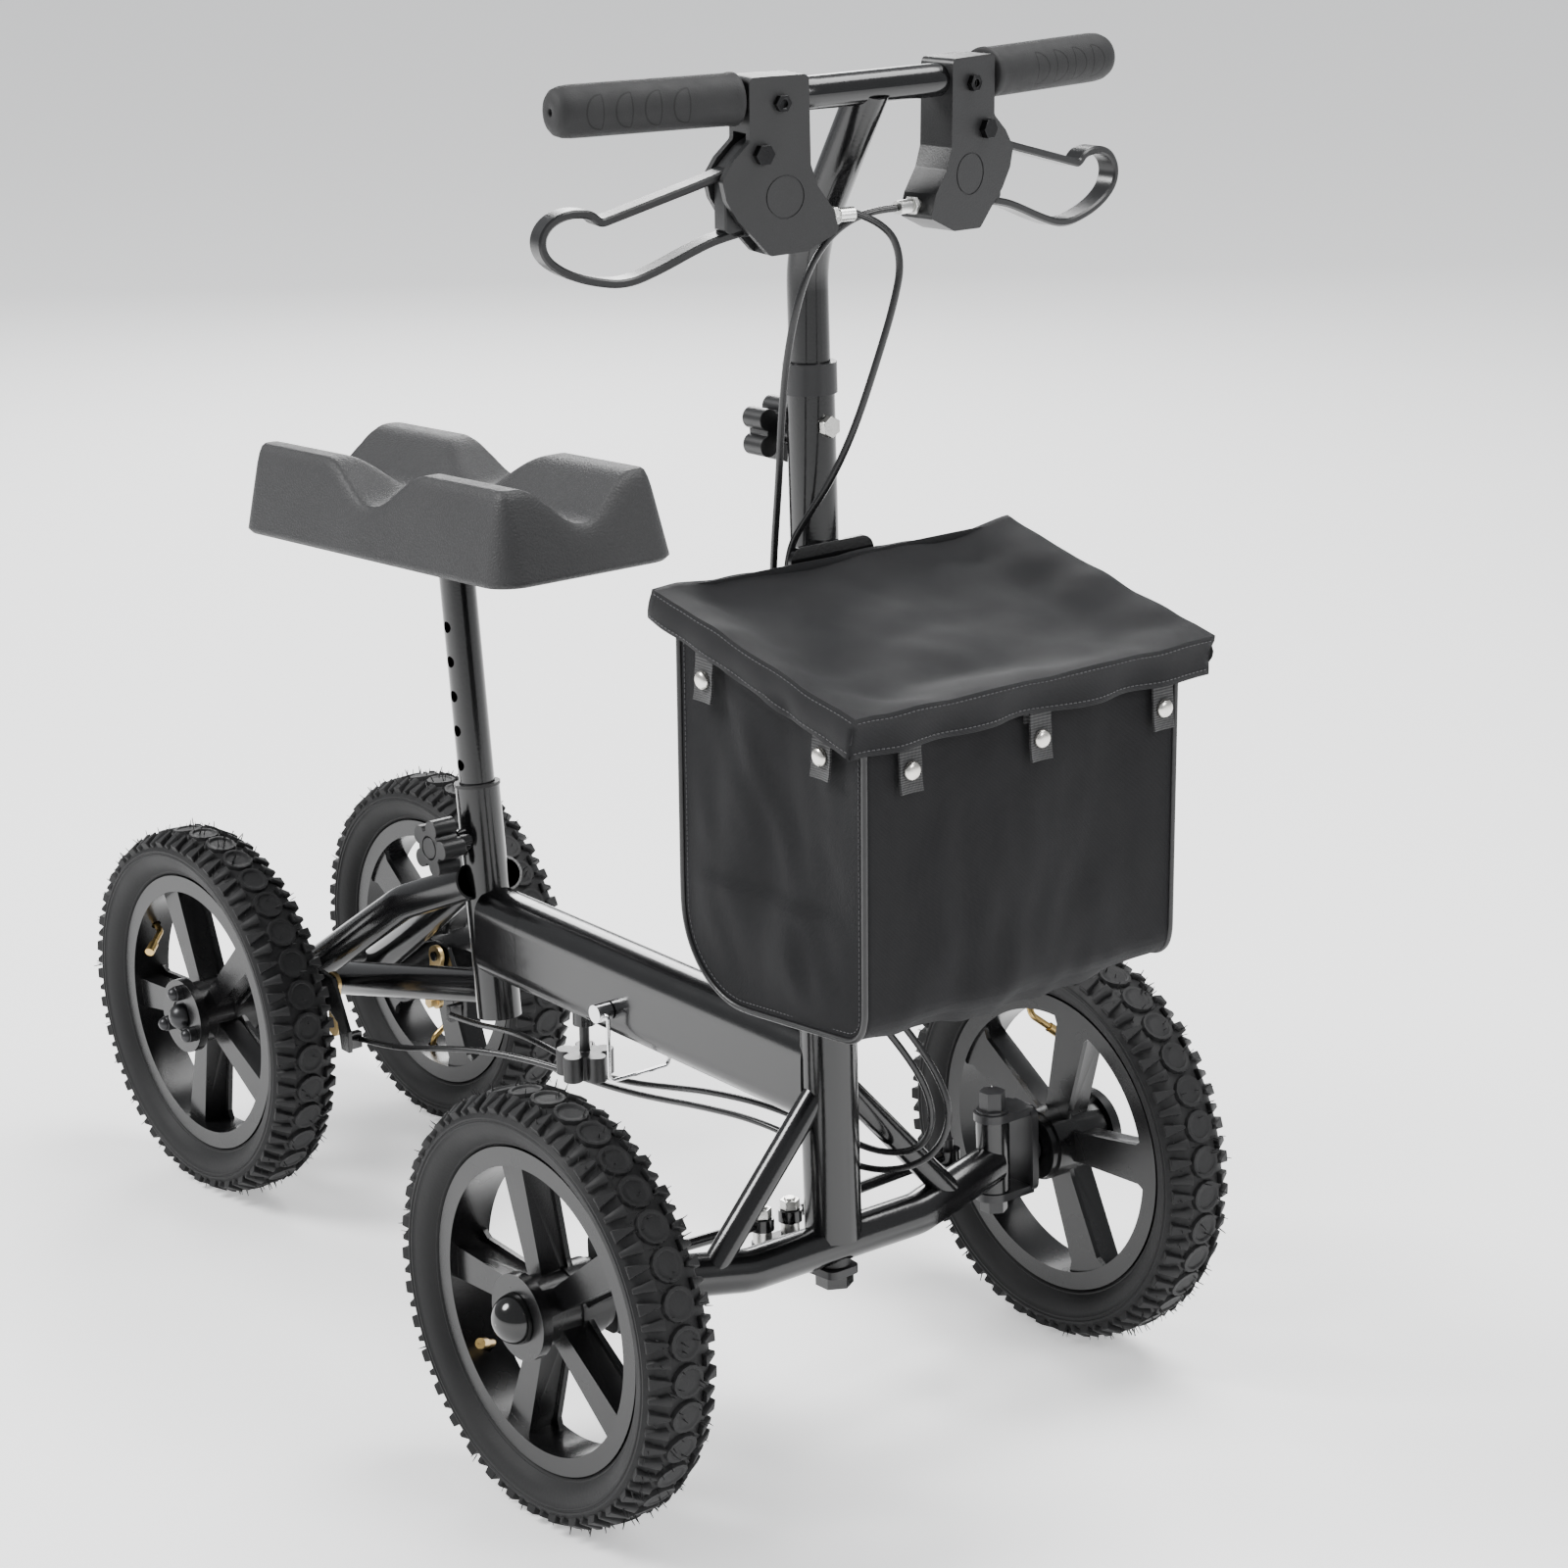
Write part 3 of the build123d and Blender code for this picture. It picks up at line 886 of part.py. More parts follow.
LOWER_ROUTES = {
    "right": [
        (3, -30, 480), (7, -29, 428), (19, -21, 384), (30, -4, 352), (38, 20, 326), (48, 43, 294), (60, 57, 264),
        (68, 62, 238), (64, 58, 212), (46, 48, 192), (10, 34, 181), (-34, 20, 190), (-90, 10, 196), (-149, 6, 189),
        (-205, 9, 177), (-256, 15, 166), (-306, 14, 161), (-352, 5, 163), (-405, -14, 163), (-455, -30, 154),
        (-498, -40, 144), (-540.3, -43.5, 140),
    ],
    "left": [
        (-6, -35, 480), (-1, -35, 424), (13, -29, 378), (28, -10, 346), (37, 14, 316), (43, 36, 286), (51, 50, 260),
        (56, 55, 238), (54, 55, 218), (40, 53, 201), (8, 46, 191), (-34, 33, 199), (-90, 21, 205), (-149, 16, 198),
        (-205, 19, 184), (-256, 25, 170), (-306, 25, 162), (-352, 23, 165), (-405, 26, 165), (-455, 34, 155),
        (-498, 40, 145), (-540.3, 43.5, 140),
    ],
}  # fmt: skip


def cable(route, name):
    """A cable housing along its route, each arc as large as its two runs allow."""
    points = [Vector(FRONT_AXLE_X + x, y, z) for x, y, z in route]
    radii = []
    for before, corner, after in zip(points, points[1:], points[2:]):
        turn = math.radians((corner - before).get_angle(after - corner))
        run = min((corner - before).length, (after - corner).length)
        radii.append(0.45 * run / math.tan(turn / 2))
    solid = bent(points, radii, CABLE_RADIUS)
    path = FilletPolyline(*points, radius=radii)
    print(name, "smallest radius", round(min(radii), 1), "all", [round(r) for r in radii])
    print(name, "length", round(path.length, 1), "volume ratio",
          round(solid.volume / (math.pi * CABLE_RADIUS**2 * path.length), 4))  # fmt: skip
    return solid


for level, routes in (("upper", UPPER_ROUTES), ("lower", LOWER_ROUTES)):
    save(f"brake_cables_{level}", *[cable(route, f"{level} {side}") for side, route in routes.items()])
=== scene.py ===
import math

import bmesh
import bpy
import numpy as np
from mathutils import Matrix, Vector, noise


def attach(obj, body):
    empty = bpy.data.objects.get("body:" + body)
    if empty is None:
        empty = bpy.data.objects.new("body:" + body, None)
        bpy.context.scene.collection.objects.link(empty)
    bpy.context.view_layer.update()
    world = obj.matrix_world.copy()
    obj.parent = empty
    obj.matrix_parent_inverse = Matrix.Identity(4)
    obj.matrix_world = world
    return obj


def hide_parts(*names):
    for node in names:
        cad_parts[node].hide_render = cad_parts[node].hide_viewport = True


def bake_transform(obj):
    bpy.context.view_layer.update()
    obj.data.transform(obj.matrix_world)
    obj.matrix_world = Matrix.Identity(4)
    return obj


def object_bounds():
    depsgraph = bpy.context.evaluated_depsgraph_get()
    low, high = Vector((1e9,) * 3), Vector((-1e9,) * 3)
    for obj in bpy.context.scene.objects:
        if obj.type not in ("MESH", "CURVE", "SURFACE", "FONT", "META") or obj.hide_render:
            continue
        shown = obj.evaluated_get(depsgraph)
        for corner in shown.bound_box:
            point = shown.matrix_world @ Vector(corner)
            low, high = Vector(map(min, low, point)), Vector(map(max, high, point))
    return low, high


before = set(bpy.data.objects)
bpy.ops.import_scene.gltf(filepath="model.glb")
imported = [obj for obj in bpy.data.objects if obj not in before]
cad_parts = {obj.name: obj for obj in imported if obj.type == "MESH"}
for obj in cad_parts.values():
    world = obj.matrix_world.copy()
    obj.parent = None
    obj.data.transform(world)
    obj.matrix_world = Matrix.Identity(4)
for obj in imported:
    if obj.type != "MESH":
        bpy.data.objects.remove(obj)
cad_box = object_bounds()

# ---------------------------------------------------------------- studio
# A pale sheet of card under the scooter, one large soft lamp above and behind its right-hand side,
# and weaker lamps that fill the shadows and draw a line of light along each black tube.
CAMERA_PLACE = Vector((2.2367, -1.5791, 1.2461))
CAMERA_YAW, CAMERA_PITCH, CAMERA_ROLL = 141.31, 17.05, -0.50
CAMERA_LENS, CAMERA_SHIFT = 87.26, (-0.0082, -0.0014)
FLOOR_HALF, FLOOR_LEVEL, AIR_LIGHT = 14.0, -0.0004, 0.5
LAMPS = {
    "key_lamp": ((-1.5, -2.6, 3.2), (0.0, 0.0, 0.3), 1.7, 215.0),
    "top_lamp": ((0.6, 1.2, 3.6), (0.0, 0.0, 0.4), 2.4, 150.0),
    "front_lamp": ((3.4, 0.6, 2.3), (0.2, 0.0, 0.5), 1.4, 60.0),
    "rear_lamp": ((-3.2, 2.2, 2.0), (0.0, 0.0, 0.4), 1.6, 80.0),
}


def added(name, data):
    """A new object in the scene."""
    made = bpy.data.objects.new(name, data)
    bpy.context.scene.collection.objects.link(made)
    return made


def aimed(place, target):
    """The turn that points a lamp at a spot."""
    return (Vector(target) - Vector(place)).to_track_quat("-Z", "Y")


camera_data = bpy.data.cameras.new("camera")
camera_data.lens, camera_data.sensor_width = CAMERA_LENS, 36.0
camera_data.shift_x, camera_data.shift_y = CAMERA_SHIFT
camera_data.clip_end = 60.0
camera = added("camera", camera_data)
yaw, pitch = math.radians(CAMERA_YAW), math.radians(CAMERA_PITCH)
sight = Vector((math.cos(yaw) * math.cos(pitch), math.sin(yaw) * math.cos(pitch), -math.sin(pitch)))
camera.rotation_mode = "QUATERNION"
roll = Matrix.Rotation(math.radians(CAMERA_ROLL), 3, "Z").to_quaternion()
camera.rotation_quaternion = sight.to_track_quat("-Z", "Y") @ roll
camera.location = CAMERA_PLACE
bpy.context.scene.camera = camera

for lamp_name, (place, target, size, power) in LAMPS.items():
    lamp_data = bpy.data.lights.new(lamp_name, "AREA")
    lamp_data.shape, lamp_data.size, lamp_data.energy = "DISK", size, power
    lamp = added(lamp_name, lamp_data)
    lamp.location, lamp.rotation_mode = place, "QUATERNION"
    lamp.rotation_quaternion = aimed(place, target)

world = bpy.data.worlds.new("studio_air")
world.use_nodes = True
world.node_tree.nodes["Background"].inputs["Color"].default_value = (0.95, 0.97, 1.0, 1.0)
world.node_tree.nodes["Background"].inputs["Strength"].default_value = AIR_LIGHT
bpy.context.scene.world = world


class Wire:
    """A socket of a shader. A sum, product or comparison of wires adds the Math nodes for it."""

    def __init__(self, tree, socket):
        self.tree, self.socket = tree, socket

    def math(self, operation, *terms):
        made = self.tree.nodes.new("ShaderNodeMath")
        made.operation = operation
        for plug, term in zip(made.inputs, terms):
            plug_in(self.tree, plug, term)
        return Wire(self.tree, made.outputs[0])

    def __add__(self, other):
        return self.math("ADD", self, other)

    def __sub__(self, other):
        return self.math("SUBTRACT", self, other)

    def __rsub__(self, other):
        return self.math("SUBTRACT", other, self)

    def __mul__(self, other):
        return self.math("MULTIPLY", self, other)

    def __pow__(self, power):
        return self.math("POWER", self, power)

    def __gt__(self, other):
        return self.math("GREATER_THAN", self, other)

    def __lt__(self, other):
        return self.math("LESS_THAN", self, other)

    __radd__, __rmul__ = __add__, __mul__

    def size(self):
        """The wire without its sign."""
        return self.math("ABSOLUTE", self)

    def wave(self):
        """The sine of the wire, moved to lie between 0 and 1."""
        return self.math("SINE", self) * 0.5 + 0.5


def plug_in(tree, plug, value):
    """Joins a wire to a socket, or sets the socket to a plain value."""
    if isinstance(value, Wire):
        tree.links.new(value.socket, plug)
    else:
        plug.default_value = value


class Finish:
    """One material: a Principled shader whose even qualities are set and whose patterns are wired."""

    def __init__(self, name, colour, roughness, metallic=0.0, **even):
        self.material = bpy.data.materials.new(name)
        self.material.use_nodes = True
        self.tree = self.material.node_tree
        self.shader = self.tree.nodes["Principled BSDF"]
        self.colour = colour
        self.shader.inputs["Base Color"].default_value = (*colour, 1.0)
        self.shader.inputs["Roughness"].default_value = roughness
        self.shader.inputs["Metallic"].default_value = metallic
        for quality, value in even.items():
            self.shader.inputs[quality.replace("_", " ")].default_value = value
        self.material.diffuse_color = (*colour, 1.0)

    def node(self, kind, output=0, settings=None, **values):
        """Any node: its settings first, then its sockets, which take numbers or wires."""
        made = self.tree.nodes.new("ShaderNode" + kind)
        for setting, value in (settings or {}).items():
            setattr(made, setting, value)
        for socket, value in values.items():
            plug_in(self.tree, made.inputs[socket.replace("_", " ")], value)
        return Wire(self.tree, made.outputs[output])

    def place(self, stretch=(1.0, 1.0, 1.0)):
        """Where a point lies on the piece, stretched for a pattern with a direction."""
        spot = self.node("TexCoord", "Object")
        if stretch == (1.0, 1.0, 1.0):
            return spot
        return self.node("Mapping", Vector=spot, Scale=stretch)

    def grain(self, scale, detail=3.0, stretch=(1.0, 1.0, 1.0)):
        """Soft noise between 0 and 1."""
        return self.node("TexNoise", "Fac", Vector=self.place(stretch), Scale=scale, Detail=detail)

    def axes(self, vector):
        """The three parts of a vector."""
        made = self.tree.nodes.new("ShaderNodeSeparateXYZ")
        plug_in(self.tree, made.inputs[0], vector)
        return [Wire(self.tree, plug) for plug in made.outputs]

    def tint(self, factor, *colours):
        """Blends the base colour between two colours."""
        made = self.tree.nodes.new("ShaderNodeMix")
        made.data_type = "RGBA"
        plug_in(self.tree, made.inputs["Factor"], factor)
        made.inputs[6].default_value = (*colours[0], 1.0)
        made.inputs[7].default_value = (*colours[1], 1.0)
        self.tree.links.new(made.outputs[2], self.shader.inputs["Base Color"])
        return self

    def rough(self, wire):
        """Wires the roughness."""
        plug_in(self.tree, self.shader.inputs["Roughness"], wire)
        return self

    def relief(self, height, depth):
        """Raises the surface by a pattern, by up to depth in metres."""
        made = self.tree.nodes.new("ShaderNodeBump")
        made.inputs["Strength"].default_value = 1.0
        made.inputs["Distance"].default_value = depth
        plug_in(self.tree, made.inputs["Height"], height)
        self.tree.links.new(made.outputs["Normal"], self.shader.inputs["Normal"])
        return self


card = Finish("pale_card", (0.95, 0.95, 0.95), 0.8,
              Emission_Color=(1.0, 1.0, 1.0, 1.0), Emission_Strength=0.5)  # fmt: skip
card.tint(card.grain(3.0), (0.945, 0.945, 0.945), (0.96, 0.96, 0.96))
floor_mesh = bpy.data.meshes.new("floor")
corners = [(x * FLOOR_HALF, y * FLOOR_HALF, FLOOR_LEVEL) for x, y in ((-1, -1), (1, -1), (1, 1), (-1, 1))]
floor_mesh.from_pydata(corners, [], [(0, 1, 2, 3)])
floor_mesh.materials.append(card.material)
floor = added("floor", floor_mesh)

# ---------------------------------------------------------------- frame, column and tiller tubes
# Welded steel tubes in black gloss powder coat: a deep black with the faint orange peel that the
# baked powder leaves. The tubes stay as the frame has them and get this finish.
enamel = Finish("gloss_powder_coat", (0.0035, 0.0035, 0.0038), 0.17, Coat_Weight=0.2, Coat_Roughness=0.08)
enamel.rough(0.14 + enamel.grain(35.0) * 0.1)
enamel.relief(enamel.grain(520.0, 2.0), 0.00006)
satin_coat = Finish("satin_powder_coat", (0.011, 0.011, 0.012), 0.36)
satin_coat.rough(0.3 + satin_coat.grain(60.0) * 0.14)
satin_coat.relief(satin_coat.grain(900.0, 2.0), 0.00005)
TUBE_NODES = (
    "main_tube", "spigot_tube", "head_tube", "front_beam", "front_braces", "kingpin_housings", "seat_tube",
    "rear_upper_stays", "rear_lower_stay", "steering_column", "stem_tube", "handlebar", "seat_post",
    "tie_rod_right", "tie_rod_left",
)  # fmt: skip


def coat(node, finish):
    """Gives a node of the frame its finish."""
    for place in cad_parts[node].material_slots:
        place.link = "OBJECT"
        place.material = finish.material


for tube in TUBE_NODES:
    coat(tube, enamel)

bush_nylon = Finish("bush_nylon", (0.014, 0.014, 0.014), 0.45)
bush_nylon.rough(0.4 + bush_nylon.grain(120.0) * 0.15)
coat("frame_bushes", bush_nylon)
coat("column_collar", satin_coat)


def dressed(name, mesh, finish):
    """Puts a mesh in the scene with this finish alone."""
    mesh.materials.clear()
    mesh.materials.append(finish.material)
    return added(name, mesh)


def link(name, mesh, finish, body):
    """Puts a finished mesh in the scene, riding on its body."""
    piece = dressed(name, mesh, finish)
    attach(piece, body)
    return piece


def taken(shape, name):
    """A mesh made from a shape being built, which is then let go."""
    mesh = bpy.data.meshes.new(name)
    shape.to_mesh(mesh)
    shape.free()
    return mesh


def smooth(mesh, angle=38.0):
    """Shades a mesh smooth, apart from edges sharper than the angle."""
    mesh.shade_smooth()
    mesh.set_sharp_from_angle(angle=math.radians(angle))
    return mesh


def eased(node, name, finish, body, width=0.0006):
    """A copy of a machined or moulded node whose edges are eased, as tumbling or a mould leaves them."""
    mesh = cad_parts[node].data.copy()
    shape = bmesh.new()
    shape.from_mesh(mesh)
    bmesh.ops.remove_doubles(shape, verts=shape.verts, dist=2e-6)
    bmesh.ops.dissolve_limit(
        shape, angle_limit=math.radians(0.6), verts=shape.verts, edges=shape.edges, delimit={"NORMAL"}
    )
    shape.to_mesh(mesh)
    shape.free()
    smooth(mesh)
    piece = link(name, mesh, finish, body)
    bevel = piece.modifiers.new("eased_edges", "BEVEL")
    bevel.width, bevel.segments, bevel.limit_method = width, 2, "ANGLE"
    bevel.angle_limit, bevel.harden_normals = math.radians(40), False
    bevel.use_clamp_overlap = True
    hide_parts(node)
    return piece


eased("steering_arm", "steering_arm_plate", satin_coat, "column")
eased("basket_bracket", "bracket_plate", enamel, "column")
eased("basket_hoop", "hoop_bar", satin_coat, "column", 0.0004)
eased("rear_axle_tube", "axle_tube", enamel, "frame")
for side in ("right", "left"):
    eased(f"knuckle_{side}", f"steering_knuckle_{side}", satin_coat, f"knuckle_{side}")

# ---------------------------------------------------------------- rims and hubs
# Five-spoke wheels moulded in black nylon, with a flat lip each side of the tyre. A domed cap snaps
# over each front axle nut. The rear hubs carry a steel brake drum, held by three long bolts.
WHEELS = {
    "front_right": (0.290, -0.235, -1, 36.0, 2.5),
    "front_left": (0.290, 0.235, 1, 6.0, 1.5),
    "rear_right": (-0.363, -0.1155, -1, 43.0, 1.5),
    "rear_left": (-0.363, 0.1155, 1, 2.0, 3.5),
}
AXLE_HEIGHT = 0.1525
wheel_nylon = Finish("wheel_nylon", (0.005, 0.005, 0.0053), 0.24, Specular_IOR_Level=0.4)
wheel_nylon.rough(0.2 + wheel_nylon.grain(28.0) * 0.12)
wheel_nylon.relief(wheel_nylon.grain(700.0, 2.0), 0.00005)
cap_gloss = Finish("hub_cap_gloss", (0.004, 0.004, 0.004), 0.14, Coat_Weight=0.2, Coat_Roughness=0.08)
cap_gloss.rough(0.12 + cap_gloss.grain(50.0) * 0.06)
drum_steel = Finish("drum_black_zinc", (0.035, 0.035, 0.037), 0.34, 0.7)
drum_steel.rough(0.26 + drum_steel.grain(90.0, 4.0) * 0.18)
for corner in WHEELS:
    eased(f"rim_{corner}", f"wheel_{corner}", wheel_nylon, f"wheel_{corner}", 0.0014)
    hub_finish = cap_gloss if corner.startswith("front") else drum_steel
    eased(f"hub_parts_{corner}", f"hub_{corner}", hub_finish, f"wheel_{corner}", 0.0008)


# ---------------------------------------------------------------- tyres
# Knobbly 12 inch tyres: a smooth sidewall between raised rings, wedge blocks on each shoulder and a
# row of round studs, each with a crescent lip. Vent whiskers from the mould still stand on the tread.
STUD_COUNT, WEDGE_COUNT, WHISKER_COUNT = 36, 72, 300
CARCASS = [
    (105.0, 9.0), (105.0, 13.0), (110.0, 13.1), (115.7, 13.1), (116.2, 15.4), (117.4, 16.9), (118.4, 16.9),
    (119.4, 18.0), (122.0, 21.2), (126.0, 24.0), (130.5, 25.5), (133.0, 26.1), (133.6, 26.9), (134.5, 26.9),
    (135.1, 26.3), (136.0, 26.3), (136.6, 27.1), (137.6, 27.1), (138.4, 26.2), (141.5, 24.4), (145.0, 20.3),
    (147.6, 14.5), (148.8, 8.0), (149.2, 2.7),
]  # fmt: skip
LINING = [(144.5, 2.7), (144.0, 8.0), (141.0, 16.0), (134.0, 21.5), (126.0, 20.0), (118.0, 13.5), (112.0, 9.0)]
rubber = Finish("tyre_rubber", (0.011, 0.011, 0.0115), 0.6, Specular_IOR_Level=0.25)
dust = rubber.grain(24.0, 5.0)
rubber.tint(dust, (0.0062, 0.0062, 0.0066), (0.0185, 0.0185, 0.019))
rubber.rough(0.46 + dust * 0.3)
rubber.relief(rubber.grain(420.0, 4.0), 0.00018)


def wheel_place(corner):
    """The wheel's own frame in the scooter's: Z points outwards along the axle."""
    x, y, sign, _, _ = WHEELS[corner]
    turn = Matrix(((1, 0, 0), (0, 0, sign), (0, -sign, 0)))
    return Matrix.Translation((x, y, AXLE_HEIGHT)) @ turn.to_4x4()


def outward(mesh):
    """Merges doubles and turns every face of a closed mesh outwards."""
    shape = bmesh.new()
    shape.from_mesh(mesh)
    bmesh.ops.remove_doubles(shape, verts=shape.verts, dist=1e-6)
    bmesh.ops.recalc_face_normals(shape, faces=shape.faces)
    shape.to_mesh(mesh)
    shape.free()
    return mesh


def lathe(name, section, steps=96, closed=True):
    """Turns a section of (radius, height) in millimetres round Z. A closed section makes a ring."""
    count = len(section)
    verts = []
    for step in range(steps):
        angle = 2 * math.pi * step / steps
        verts += [(r * math.cos(angle) / 1000, r * math.sin(angle) / 1000, z / 1000) for r, z in section]
    faces = []
    for step in range(steps):
        here, there = step * count, (step + 1) % steps * count
        for i in range(count if closed else count - 1):
            j = (i + 1) % count
            faces.append((here + i, here + j, there + j, there + i))
    mesh = bpy.data.meshes.new(name)
    mesh.from_pydata(verts, [], faces)
    return smooth(outward(mesh))


def chamfered(name, verts, faces, width):
    """A small moulded block with its edges cut."""
    shape = bmesh.new()
    made = [shape.verts.new(Vector(v) / 1000) for v in verts]
    for face in faces:
        shape.faces.new([made[i] for i in face])
    bmesh.ops.recalc_face_normals(shape, faces=shape.faces)
    bmesh.ops.bevel(shape, geom=shape.edges[:], offset=width / 1000, segments=1, affect="EDGES")
    return taken(shape, name)


def input_named(tree, name):
    """The identifier of a tree's input, which is what a modifier's setting is filed under."""
    return next(item.identifier for item in tree.interface.items_tree if item.name == name)


def new_tree(name, **inputs):
    """An empty node tree that takes these inputs and gives geometry, and the node of its inputs."""
    tree = bpy.data.node_groups.new(name, "GeometryNodeTree")
    for label, kind in inputs.items():
        tree.interface.new_socket(label, in_out="INPUT", socket_type="NodeSocket" + kind)
    tree.interface.new_socket("Geometry", in_out="OUTPUT", socket_type="NodeSocketGeometry")
    return tree, tree.nodes.new("NodeGroupInput")


def copied(tree, given, points, rotation, scale=None):
    """Ends a tree: copies its input Piece to the points, and paints the result with its input Finish."""
    add, join = tree.nodes.new, tree.links.new
    info, copies = add("GeometryNodeObjectInfo"), add("GeometryNodeInstanceOnPoints")
    join(given.outputs["Piece"], info.inputs["Object"])
    join(points, copies.inputs["Points"])
    join(info.outputs["Geometry"], copies.inputs["Instance"])
    join(rotation, copies.inputs["Rotation"])
    if scale is not None:
        join(scale, copies.inputs["Scale"])
    real, paint = add("GeometryNodeRealizeInstances"), add("GeometryNodeSetMaterial")
    join(copies.outputs[0], real.inputs[0])
    join(real.outputs[0], paint.inputs["Geometry"])
    join(given.outputs["Finish"], paint.inputs["Material"])
    join(paint.outputs[0], add("NodeGroupOutput").inputs[0])
    return tree


def repeat_tree():
    """Copies a piece round the Z axis: inputs Piece, Count, Phase and Finish."""
    tree, given = new_tree("turned_copies", Piece="Object", Count="Int", Phase="Float", Finish="Material")
    add, join = tree.nodes.new, tree.links.new
    points, index, step = add("GeometryNodePoints"), add("GeometryNodeInputIndex"), add("ShaderNodeMath")
    join(given.outputs["Count"], points.inputs["Count"])
    step.operation = "DIVIDE"
    step.inputs[0].default_value = 2 * math.pi
    join(given.outputs["Count"], step.inputs[1])
    angle = add("ShaderNodeMath")
    angle.operation = "MULTIPLY_ADD"
    join(index.outputs[0], angle.inputs[0])
    join(step.outputs[0], angle.inputs[1])
    join(given.outputs["Phase"], angle.inputs[2])
    turn = add("ShaderNodeCombineXYZ")
    join(angle.outputs[0], turn.inputs["Z"])
    return copied(tree, given, points.outputs[0], turn.outputs[0])


def as_mesh(carrier):
    """The mesh that a helper object comes to. The object is then removed."""
    carrier.update_tag()
    bpy.context.view_layer.update()
    seen = carrier.evaluated_get(bpy.context.evaluated_depsgraph_get())
    mesh = bpy.data.meshes.new_from_object(seen)
    bpy.data.objects.remove(carrier)
    return mesh


def grown(tree, name, **settings):
    """Runs a node tree with these inputs and returns its result as one plain mesh."""
    carrier = added(name, bpy.data.meshes.new(name))
    modifier = carrier.modifiers.new("tree", "NODES")
    modifier.node_group = tree
    for setting, value in settings.items():
        modifier[input_named(tree, setting)] = value
    return as_mesh(carrier)


def pattern(mesh):
    """A hidden object that carries a shape for a node tree to copy."""
    holder = added("pattern_" + mesh.name, mesh)
    bpy.context.view_layer.update()
    return holder


def stud_mesh():
    """A round tread stud, lying on the crown: X is out from the axle, Z along the axle."""
    rings = [(0.0, 1.7), (6.0, 1.9), (8.6, 1.7), (9.4, 2.1), (10.2, 2.3), (11.9, 2.1), (12.6, -1.2)]
    verts, faces, sides = [], [], 14
    for radius, height in rings:
        for side_step in range(sides):
            angle = 2 * math.pi * side_step / sides
            lip = max(0.0, math.cos(angle)) * 0.95 if 9 < radius < 12.3 else 0.0
            verts.append((149.2 + height + lip, radius * math.cos(angle), radius * math.sin(angle)))
    for ring in range(1, len(rings) - 1):
        for side_step in range(sides):
            a, b = ring * sides + side_step, ring * sides + (side_step + 1) % sides
            faces.append((a, b, b + sides, a + sides))
    faces.append([sides + i for i in range(sides)][::-1])
    faces.append([(len(rings) - 1) * sides + i for i in range(sides)])
    mesh = bpy.data.meshes.new("stud")
    mesh.from_pydata([Vector(v) / 1000 for v in verts], [], faces)
    shape = bmesh.new()
    shape.from_mesh(mesh)
    loose = [v for v in shape.verts if not v.link_faces]
    bmesh.ops.delete(shape, geom=loose, context="VERTS")
    bmesh.ops.recalc_face_normals(shape, faces=shape.faces)
    shape.to_mesh(mesh)
    shape.free()
    return smooth(mesh, 50.0)


BLOCK_FACES = [(0, 1, 3, 2), (4, 6, 7, 5), (0, 4, 5, 1), (2, 3, 7, 6), (0, 2, 6, 4), (1, 5, 7, 3)]
WEDGE_SHAPES = {
    "wide_wedge": (2.0, 5.3, 1.2, 4.2, 0.0),
    "narrow_wedge": (4.6, 2.6, 3.9, 1.6, -1.4),
}


def wedge_mesh(name, side):
    """A shoulder block: its foot and top are each wider at one end, so that rows of them look like teeth."""
    foot_in, foot_out, top_in, top_out, drop = WEDGE_SHAPES[name]
    verts = [
        (146.0, -foot_in, 13.4), (146.0, foot_in, 13.4), (138.2, -foot_out, 24.3), (138.2, foot_out, 24.3),
        (152.4, -top_in, 14.2), (152.4, top_in, 14.2), (145.2 + drop, -top_out, 27.6), (145.2 + drop, top_out, 27.6),
    ]  # fmt: skip
    return chamfered(name, [(x, y, side * z) for x, y, z in verts], BLOCK_FACES, 0.5)


